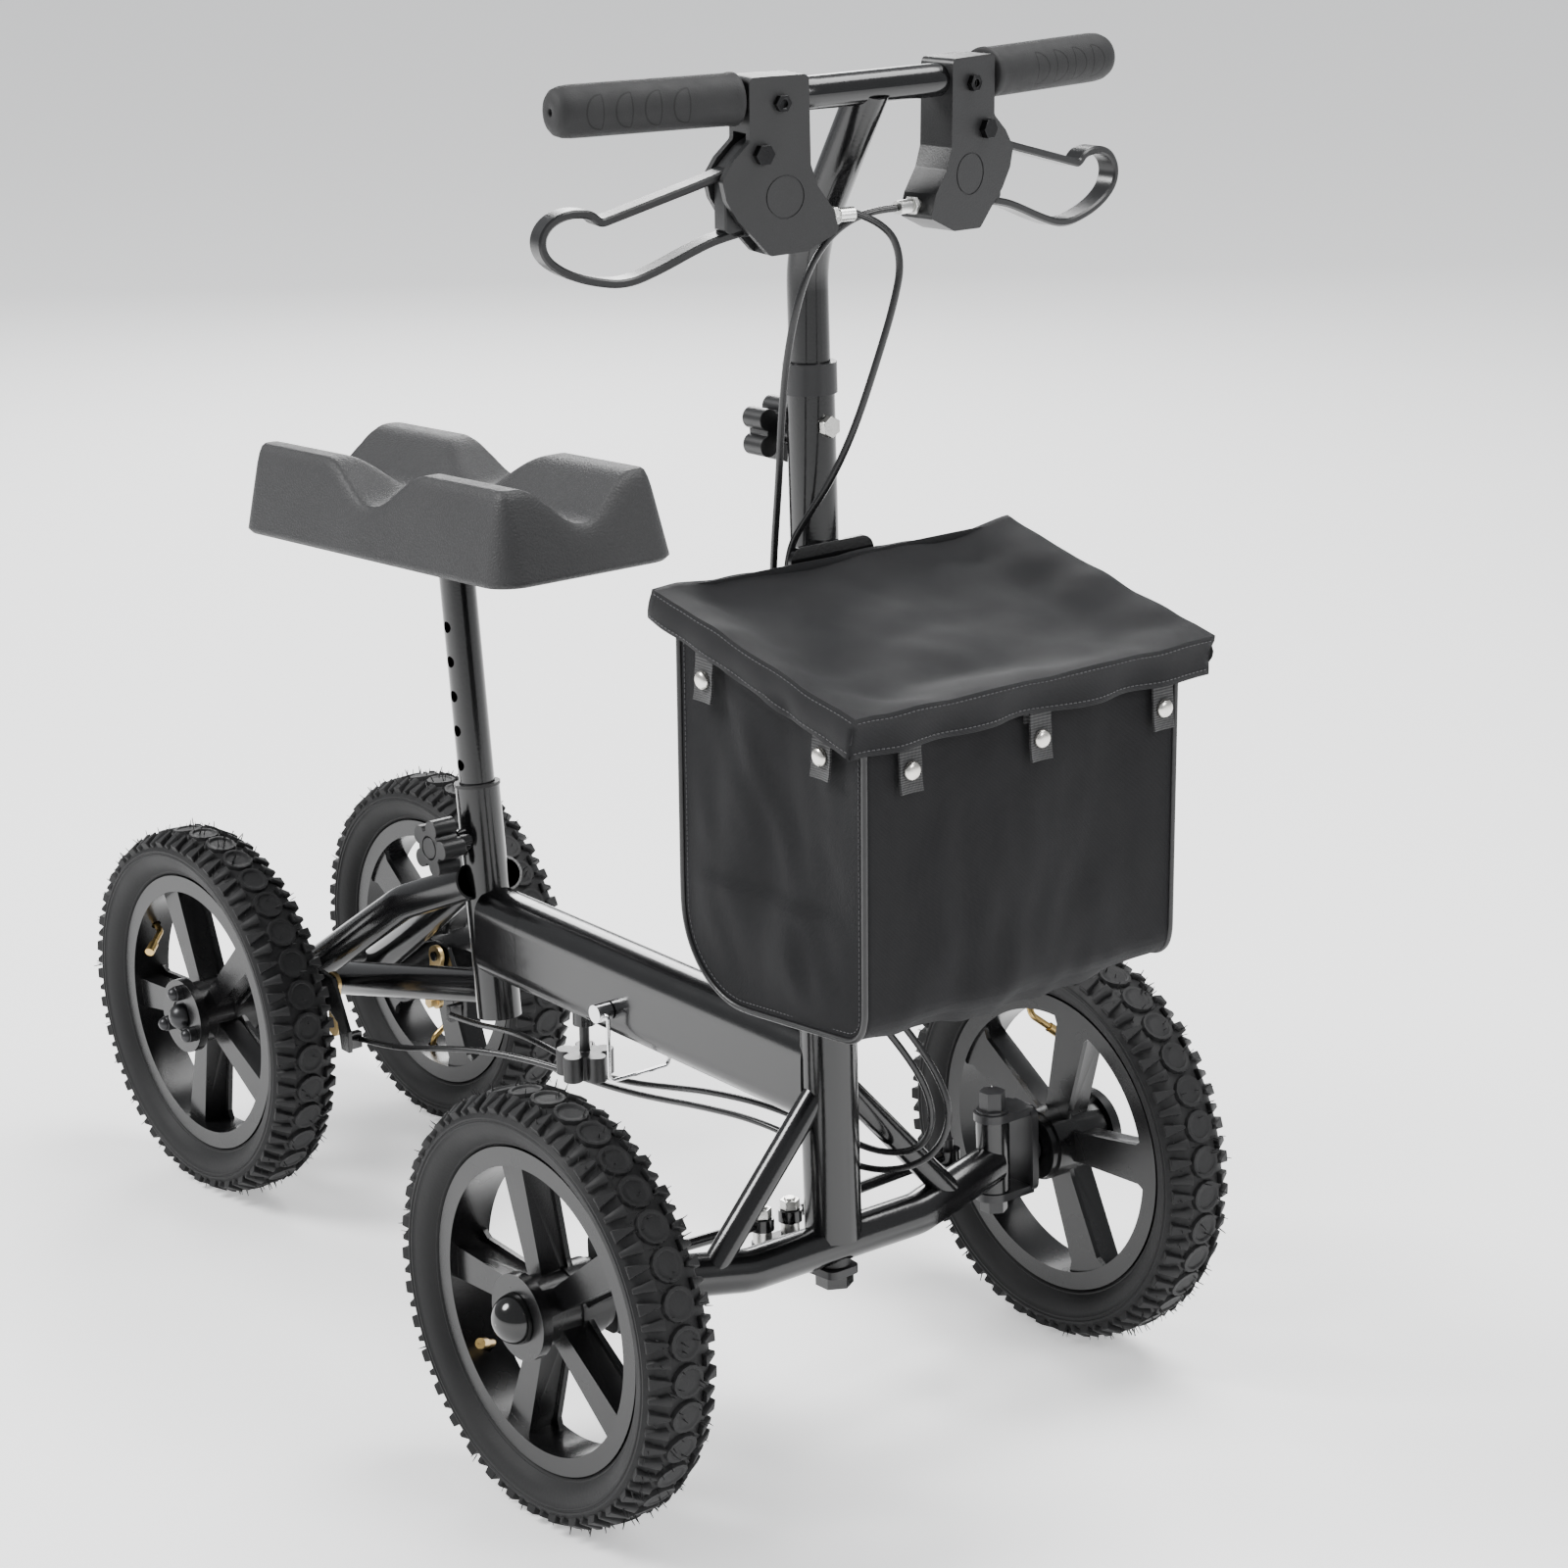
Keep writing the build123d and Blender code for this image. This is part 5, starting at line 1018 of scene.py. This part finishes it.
# ---------------------------------------------------------------- knee pad
# A moulded polyurethane foam pad with a grained skin: four humps round two crossing valleys, where
# the shin lies lengthwise. It is moulded on a steel plate that is screwed to the post.
PAD_ORIGIN, PAD_LIFT = Vector((-0.1565, 0.0, 0.5647)), math.radians(3.0)
PAD_LONG, PAD_WIDE, PAD_TALL, PAD_CORNER, PAD_TAPER = 186.0, 81.5, 70.0, 24.0, 4.7
LONG_VALLEY, CROSS_VALLEY = 32.0, 30.0
pad_skin = Finish("pad_skin", (0.024, 0.024, 0.025), 0.5, Specular_IOR_Level=0.45)
pebble = pad_skin.node("TexVoronoi", "Distance", Vector=pad_skin.place(), Scale=620.0)
pad_skin.tint(pad_skin.grain(20.0, 5.0), (0.013, 0.013, 0.0136), (0.022, 0.022, 0.0229))
pad_skin.rough(0.4 + pad_skin.grain(90.0, 3.0) * 0.12 + pebble * 0.2)
pad_skin.relief(pebble + pad_skin.grain(900.0, 3.0) * 0.5, 0.00032)


def pad_height(x, y):
    """The height of the humps and valleys, before the sides cut them."""
    along = 0.5 + 0.5 * math.cos(math.pi * min(1.0, abs(y) / 53.0))
    cross = 0.5 + 0.5 * math.cos(math.pi * min(1.0, abs(x + 2.0) / 70.0))
    depth = ((LONG_VALLEY * along) ** 3 + (CROSS_VALLEY * cross) ** 3) ** (1 / 3)
    return PAD_TALL - 0.5 - depth


def lower_of(a, b, blend):
    """The smaller of two heights, rounded where they cross."""
    share = max(0.0, min(1.0, 0.5 + 0.5 * (b - a) / blend))
    return b + (a - b) * share - blend * share * (1 - share)


rim_points = []
for quarter, (cx, cy) in enumerate(((1, 1), (-1, 1), (-1, -1), (1, -1))):
    centre = Vector((cx * (PAD_LONG - PAD_CORNER), cy * (PAD_WIDE - PAD_CORNER)))
    for step in range(13):
        angle = math.radians(90 * quarter + 90 * step / 12)
        normal = Vector((math.cos(angle), math.sin(angle)))
        rim_points.append((centre + normal * PAD_CORNER, normal))
full = []
for (spot, normal), (after, after_normal) in zip(rim_points, rim_points[1:] + rim_points[:1]):
    pieces = max(1, round((after - spot).length / 4.2))
    for i in range(pieces):
        share = i / pieces
        full.append((spot.lerp(after, share), normal.lerp(after_normal, share).normalized()))
INSETS = [0.0, 0.5, 1.1, 2.0, 3.0, 4.2, 5.6, 7.2, 9.0, 11.0, 13.2, 15.6, 18.0, 20.5]
rings = []
for inset in INSETS:
    ring = []
    for spot, normal in full:
        at = spot - normal * inset
        ring.append((at.x, at.y, lower_of(pad_height(at.x, at.y), 3.0 + inset * PAD_TAPER, 19.0)))
    rings.append(ring)
for step in range(1, 19):
    share = step / 18
    ring = []
    for spot, normal in full:
        at = spot - normal * INSETS[-1]
        goal = Vector((max(-(PAD_LONG - PAD_WIDE), min(PAD_LONG - PAD_WIDE, at.x)), 0.0))
        at = at.lerp(goal, share)
        ring.append((at.x, at.y, pad_height(at.x, at.y)))
    rings.append(ring)
foot = [(x * 0.985, y * 0.975, 0.0) for x, y, _ in rings[0]]
shape = bmesh.new()
made = [[shape.verts.new(Vector(spot) / 1000) for spot in ring] for ring in [foot, *rings]]
count = len(full)
for ring in range(len(made) - 1):
    for i in range(count):
        j = (i + 1) % count
        shape.faces.new((made[ring][i], made[ring][j], made[ring + 1][j], made[ring + 1][i]))
shape.faces.new(made[0][::-1])
bmesh.ops.remove_doubles(shape, verts=shape.verts, dist=2e-5)
bmesh.ops.recalc_face_normals(shape, faces=shape.faces)
pad_mesh = taken(shape, "pad")
pad_mesh.transform(Matrix.Translation(PAD_ORIGIN) @ Matrix.Rotation(-PAD_LIFT, 4, "Y"))
pad = link("knee_pad_foam", smooth(pad_mesh, 60.0), pad_skin, "seat")
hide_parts("knee_pad")

# ---------------------------------------------------------------- brake cables
# Two steel brake cables in black vinyl jackets run from the levers down beside the column, over the beam and along
# under the main tube to the drum brakes.
CABLE_RADIUS, FRONT_AXLE = 0.0025, 0.290
UPPER_CABLES = {
    "right": [
        (61.8, -16.7, 878), (68.5, 4, 870), (73, 13, 846), (70, 8, 816), (61, 0, 776), (50, -8, 735), (37, -17, 700),
        (22, -26, 673), (9, -31, 652), (5, -32, 625), (4, -32, 585), (4, -31, 531), (3, -30, 480.4),
    ],
    "left": [
        (61.7, 16.8, 878), (58, -3, 878), (52, -25, 868), (48, -43, 848), (42, -51, 818), (31, -51, 780),
        (22, -48, 740), (15, -45, 700), (7, -42, 664), (0, -39, 632), (-3, -37, 590), (-5, -36, 535),
        (-6, -35, 480.4),
    ],
}  # fmt: skip
LOWER_CABLES = {
    "right": [
        (3, -30, 480), (7, -29, 428), (19, -21, 384), (30, -4, 352), (38, 20, 326), (48, 43, 294), (60, 57, 264),
        (68, 62, 238), (64, 58, 212), (46, 48, 192), (10, 34, 181), (-34, 20, 190), (-90, 10, 196), (-149, 6, 189),
        (-205, 9, 177), (-256, 15, 166), (-306, 14, 161), (-352, 5, 163), (-405, -14, 163), (-455, -30, 154),
        (-498, -40, 144), (-540.3, -43.5, 140),
    ],
    "left": [
        (-6, -35, 480), (-1, -35, 424), (13, -29, 378), (28, -10, 346), (37, 14, 316), (43, 36, 286), (51, 50, 260),
        (56, 55, 238), (54, 55, 218), (40, 53, 201), (8, 46, 191), (-34, 33, 199), (-90, 21, 205), (-149, 16, 198),
        (-205, 19, 184), (-256, 25, 170), (-306, 25, 162), (-352, 23, 165), (-405, 26, 165), (-455, 34, 155),
        (-498, 40, 145), (-540.3, 43.5, 140),
    ],
}  # fmt: skip
jacket = Finish("cable_jacket", (0.0075, 0.0075, 0.008), 0.25)
jacket.rough(0.2 + jacket.grain(60.0) * 0.14)
jacket.relief(jacket.grain(500.0, 2.0), 0.00006)
halves = {}
for level, routes in (("upper", UPPER_CABLES), ("lower", LOWER_CABLES)):
    parts = []
    for route in routes.values():
        spots = [Vector((x / 1000 + FRONT_AXLE, y / 1000, z / 1000)) for x, y, z in route]
        parts.append(tube_along("cable", spots, CABLE_RADIUS, 3))
    halves[level] = dressed(f"cables_{level}", smooth(merged(f"cables_{level}", parts), 60.0), jacket)
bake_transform(halves["upper"])
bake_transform(halves["lower"])
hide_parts("brake_cables_upper")
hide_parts("brake_cables_lower")

# ---------------------------------------------------------------- grips
# Moulded rubber grips pushed over the ends of the bar, with a rounded end, a vent hole and a row of
# half-moon grooves on the face that the fingers meet.
BAR_PLACE, BAR_SWEEP, GRIP_START, GRIP_RADIUS = (0.346, 0.957), math.radians(9.3), 52.0, 16.5
GROOVE_LEVELS, GROOVE_REACH, GROOVE_HALF, BAR_MARK_HALF = (0.040, 0.060, 0.080, 0.100), 0.0115, 0.0006, 0.0005
grip_rubber = Finish("grip_rubber", (0.014, 0.014, 0.0145), 0.66, Specular_IOR_Level=0.35)
grip_u, grip_v, _ = grip_rubber.axes(grip_rubber.node("UVMap"))
groove_with_painted_shade = None
for level in GROOVE_LEVELS:
    along_v = grip_v - level
    off_arc = (grip_u ** 2.0 + along_v ** 2.0) ** 0.5 - GROOVE_REACH
    moon = (off_arc.size() < GROOVE_HALF) * (along_v > 0.0)
    bar_mark = (along_v.size() < BAR_MARK_HALF) * (grip_u.size() < GROOVE_REACH)
    groove_with_painted_shade = moon + bar_mark if groove_with_painted_shade is None else groove_with_painted_shade + moon + bar_mark
# The half-moon grooves and the marks across the bar are painted much darker than the rubber: painted shade in the
# recesses, on top of the bump that sinks them.
grip_rubber.tint(groove_with_painted_shade.math("MINIMUM", groove_with_painted_shade, 1.0), (0.015, 0.015, 0.0155), (0.004, 0.004, 0.0042))
grip_rubber.rough(0.58 + grip_rubber.grain(110.0, 4.0) * 0.2)
grip_rubber.relief(grip_rubber.grain(1100.0, 3.0) * 0.35 - groove_with_painted_shade, 0.0006)
GRIP_SECTION = [
    (11.3, 52.0), (15.4, 52.0), (16.2, 52.4), (16.9, 53.4), (17.0, 56.0), (16.6, 58.0), (16.5, 62.0), (16.5, 80.0),
    (16.5, 100.0), (16.5, 120.0), (16.5, 140.0), (16.5, 158.0), (16.4, 168.0), (15.9, 173.5), (14.4, 177.8),
    (11.8, 180.2), (8.0, 181.0), (3.2, 181.0), (2.7, 180.6), (2.5, 179.6), (2.4, 175.0), (0.0, 175.0),
]  # fmt: skip


def sleeve(name, section, steps=64):
    """A turned shape whose UV map is (distance round, distance along) in metres."""
    shape = bmesh.new()
    wrap = shape.loops.layers.uv.new("flat")
    made = []
    for step in range(steps + 1):
        angle = 2 * math.pi * step / steps
        out = Vector((math.cos(angle), math.sin(angle), 0.0))
        made.append([shape.verts.new((r * out.x / 1000, r * out.y / 1000, z / 1000)) for r, z in section])
    for step in range(steps):
        for i in range(len(section) - 1):
            corners = ((step, i), (step + 1, i), (step + 1, i + 1), (step, i + 1))
            face = shape.faces.new([made[a][b] for a, b in corners])
            for loop, (a, b) in zip(face.loops, corners):
                round_it = (a / steps - 0.5) * 2 * math.pi * GRIP_RADIUS
                loop[wrap].uv = (round_it / 1000, (section[b][1] - GRIP_START) / 1000)
    bmesh.ops.remove_doubles(shape, verts=shape.verts, dist=1e-6)
    bmesh.ops.dissolve_degenerate(shape, edges=shape.edges, dist=1e-7)
    bmesh.ops.recalc_face_normals(shape, faces=shape.faces)
    return smooth(taken(shape, name), 45.0)


grips = []
for sign in (-1, 1):
    grip = sleeve("grip", GRIP_SECTION)
    along = Vector((-math.sin(BAR_SWEEP), sign * math.cos(BAR_SWEEP), 0.0))
    face = Vector((math.cos(BAR_SWEEP), sign * math.sin(BAR_SWEEP), 0.0))
    side = along.cross(-face)
    turn = Matrix((-face, side, along)).transposed().to_4x4()
    start = Vector((BAR_PLACE[0], sign * 0.052, BAR_PLACE[1]))
    grip.transform(Matrix.Translation(start) @ turn)
    grips.append(grip)
grip_pair = link("grip_pair", merged("grip_pair", grips), grip_rubber, "tiller")
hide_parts("grips")

# ---------------------------------------------------------------- brake levers and their housings
# Glass-filled nylon housings clamp on the bar with a dark socket screw, and looped levers pivot on a
# dark bolt. Bright cable adjusters stand at the inner ends. All the edges are moulded round.
moulded_nylon = Finish("moulded_nylon", (0.0105, 0.0105, 0.011), 0.4)
moulded_nylon.rough(0.34 + moulded_nylon.grain(40.0, 5.0) * 0.16)
moulded_nylon.relief(moulded_nylon.grain(800.0, 3.0), 0.00012)
lever_paint = Finish("lever_paint", (0.008, 0.008, 0.0085), 0.28)
lever_paint.rough(0.24 + lever_paint.grain(45.0, 4.0) * 0.14)
lever_paint.relief(lever_paint.grain(450.0, 2.0), 0.00007)
eased("lever_housings", "housing_pair", moulded_nylon, "tiller", 0.0016)
LEVER_LINE = [
    (48, -39), (60, -44.5), (78, -50.2), (112, -59.2), (143, -67.6), (151, -69.6), (156, -64.4), (163, -62.4),
    (174, -62.2), (186, -67.0), (192.2, -77), (189.6, -88.5), (177, -98.2), (159, -105), (134, -109.4), (110, -102),
    (86, -92.2), (68, -86), (50, -83),
]  # fmt: skip
LEVER_BOSS = [
    (29.5, -36), (33, -27), (40, -23.5), (50, -30), (62, -42), (64, -50), (64, -82), (58, -86), (42, -86), (33, -62),
]  # fmt: skip
LEVER_HALF, STRAP_HALF, STRAP_ROUND = 7.5, 2.7, 1.2


def smooth_line(points):
    """Points read along a smooth spline that a route steers."""
    return [vert.co.copy() for vert in as_mesh(line_through("line", points, steps=6)).vertices]


def strap(name, spots):
    """A flat strap with rounded edges that follows a line in its own plane."""
    shape, made = bmesh.new(), []
    wide, thick, turn = LEVER_HALF, STRAP_HALF, STRAP_ROUND
    section = [(-thick, -wide + turn), (-thick + turn, -wide), (thick - turn, -wide), (thick, -wide + turn),
               (thick, wide - turn), (thick - turn, wide), (-thick + turn, wide), (-thick, wide - turn)]  # fmt: skip
    for i, spot in enumerate(spots):
        along = (spots[min(len(spots) - 1, i + 1)] - spots[max(0, i - 1)]).normalized()
        across = Vector((-along.y, along.x, 0.0))
        made.append([shape.verts.new(spot + across * a + Vector((0, 0, b))) for a, b in section])
    for ring, after in zip(made, made[1:]):
        for i in range(8):
            shape.faces.new((ring[i], ring[(i + 1) % 8], after[(i + 1) % 8], after[i]))
    shape.faces.new(made[0])
    shape.faces.new(made[-1][::-1])
    bmesh.ops.recalc_face_normals(shape, faces=shape.faces)
    return taken(shape, name)


for side, sign in (("right", -1), ("left", 1)):
    arm = strap("arm", smooth_line([(u, v, 0.0) for u, v in LEVER_LINE]))
    boss = bmesh.new()
    low = [boss.verts.new((u, v, -LEVER_HALF)) for u, v in LEVER_BOSS]
    high = [boss.verts.new((u, v, LEVER_HALF)) for u, v in LEVER_BOSS]
    boss.faces.new(low)
    boss.faces.new(high[::-1])
    for i in range(len(LEVER_BOSS)):
        j = (i + 1) % len(LEVER_BOSS)
        boss.faces.new((low[i], high[i], high[j], low[j]))
    bmesh.ops.recalc_face_normals(boss, faces=boss.faces)
    lever_mesh = smooth(merged("lever", [arm, taken(boss, "boss")]), 42.0)
    along = Vector((-math.sin(BAR_SWEEP), sign * math.cos(BAR_SWEEP), 0.0))
    across = Vector((sign * math.cos(BAR_SWEEP), math.sin(BAR_SWEEP), 0))
    turn = Matrix((along, Vector((0, 0, 1)), across)).transposed()
    place = Matrix.Translation((BAR_PLACE[0], sign * 0.052, BAR_PLACE[1])) @ turn.to_4x4() @ Matrix.Scale(0.001, 4)
    lever_mesh.transform(place)
    lever = link(f"looped_lever_{side}", lever_mesh, lever_paint, f"lever_{side}")
    edges = lever.modifiers.new("moulded_edges", "BEVEL")
    edges.width, edges.segments, edges.limit_method, edges.angle_limit = 0.0009, 2, "ANGLE", math.radians(50)
    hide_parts(f"brake_lever_{side}")
zinc = Finish("bright_zinc", (0.66, 0.66, 0.64), 0.28, 1.0)
zinc.tint(zinc.grain(110.0, 5.0), (0.5, 0.49, 0.46), (0.74, 0.74, 0.72))
zinc.rough(0.18 + zinc.grain(200.0, 4.0) * 0.22)
zinc.relief(zinc.grain(700.0, 3.0), 0.00007)
lever_steel = Finish("lever_bolts_and_adjusters", (0.4, 0.4, 0.39), 0.28, 1.0)
_, sideways, _ = lever_steel.axes(lever_steel.place())
adjuster_part = sideways.size() < 0.0505
lever_steel.tint(adjuster_part, (0.03, 0.03, 0.031), (0.7, 0.7, 0.68))
lever_steel.rough(0.2 + lever_steel.grain(200.0, 4.0) * 0.22)
lever_steel.relief(lever_steel.grain(700.0, 3.0), 0.00007)
eased("lever_hardware", "lever_bolts", lever_steel, "tiller", 0.0004)

# ---------------------------------------------------------------- clamp knobs, pins and small steel
# Five-lobed knobs in black nylon clamp the column, the seat post and the main tube. The lock pin and
# its wire bail are bright chrome, the drum brake arms gold passivated, and the screws bright zinc.
knob_nylon = Finish("knob_nylon", (0.009, 0.009, 0.0095), 0.34)
knob_nylon.rough(0.28 + knob_nylon.grain(70.0, 4.0) * 0.16)
knob_nylon.relief(knob_nylon.grain(600.0, 3.0), 0.0001)
KNOBS = {"column_knob": "column_clamp_knob", "seat_knob": "seat_clamp_knob", "tube_knob": "frame_clamp_knob"}
for node, body in KNOBS.items():
    eased(node, f"{node}_lobes", knob_nylon, body, 0.0014)
chrome = Finish("bright_chrome", (0.82, 0.82, 0.83), 0.1, 1.0)
chrome.rough(0.06 + chrome.grain(90.0, 4.0) * 0.12)
gold_zinc = Finish("gold_passivated_zinc", (0.62, 0.44, 0.2), 0.32, 1.0)
gold_zinc.tint(gold_zinc.grain(70.0, 5.0), (0.5, 0.33, 0.13), (0.74, 0.58, 0.3))
gold_zinc.rough(0.24 + gold_zinc.grain(160.0, 4.0) * 0.2)
gold_zinc.relief(gold_zinc.grain(500.0, 3.0), 0.0001)
eased("lock_pin", "lock_pin_chrome", chrome, "pin", 0.0005)
eased("pin_bail", "bail_wire", chrome, "bail", 0.0002)
for side in ("right", "left"):
    eased(f"brake_arm_{side}", f"drum_lever_{side}", gold_zinc, f"drum_arm_{side}", 0.0006)
eased("column_bolts", "column_screws", zinc, "column", 0.0004)
eased("seat_screws", "pad_screws", zinc, "seat", 0.0003)
eased("rear_axle", "rear_axle_bar", zinc, "frame", 0.0004)

# ---------------------------------------------------------------- valves
# Brass stems stand out of the inner tubes through the rims, each with its cap.
brass = Finish("valve_brass", (0.6, 0.42, 0.16), 0.26, 1.0)
brass.tint(brass.grain(300.0, 4.0), (0.44, 0.29, 0.1), (0.72, 0.52, 0.22))
brass.rough(0.2 + brass.grain(400.0, 3.0) * 0.2)
for corner in WHEELS:
    coat(f"inner_tube_{corner}", brass)
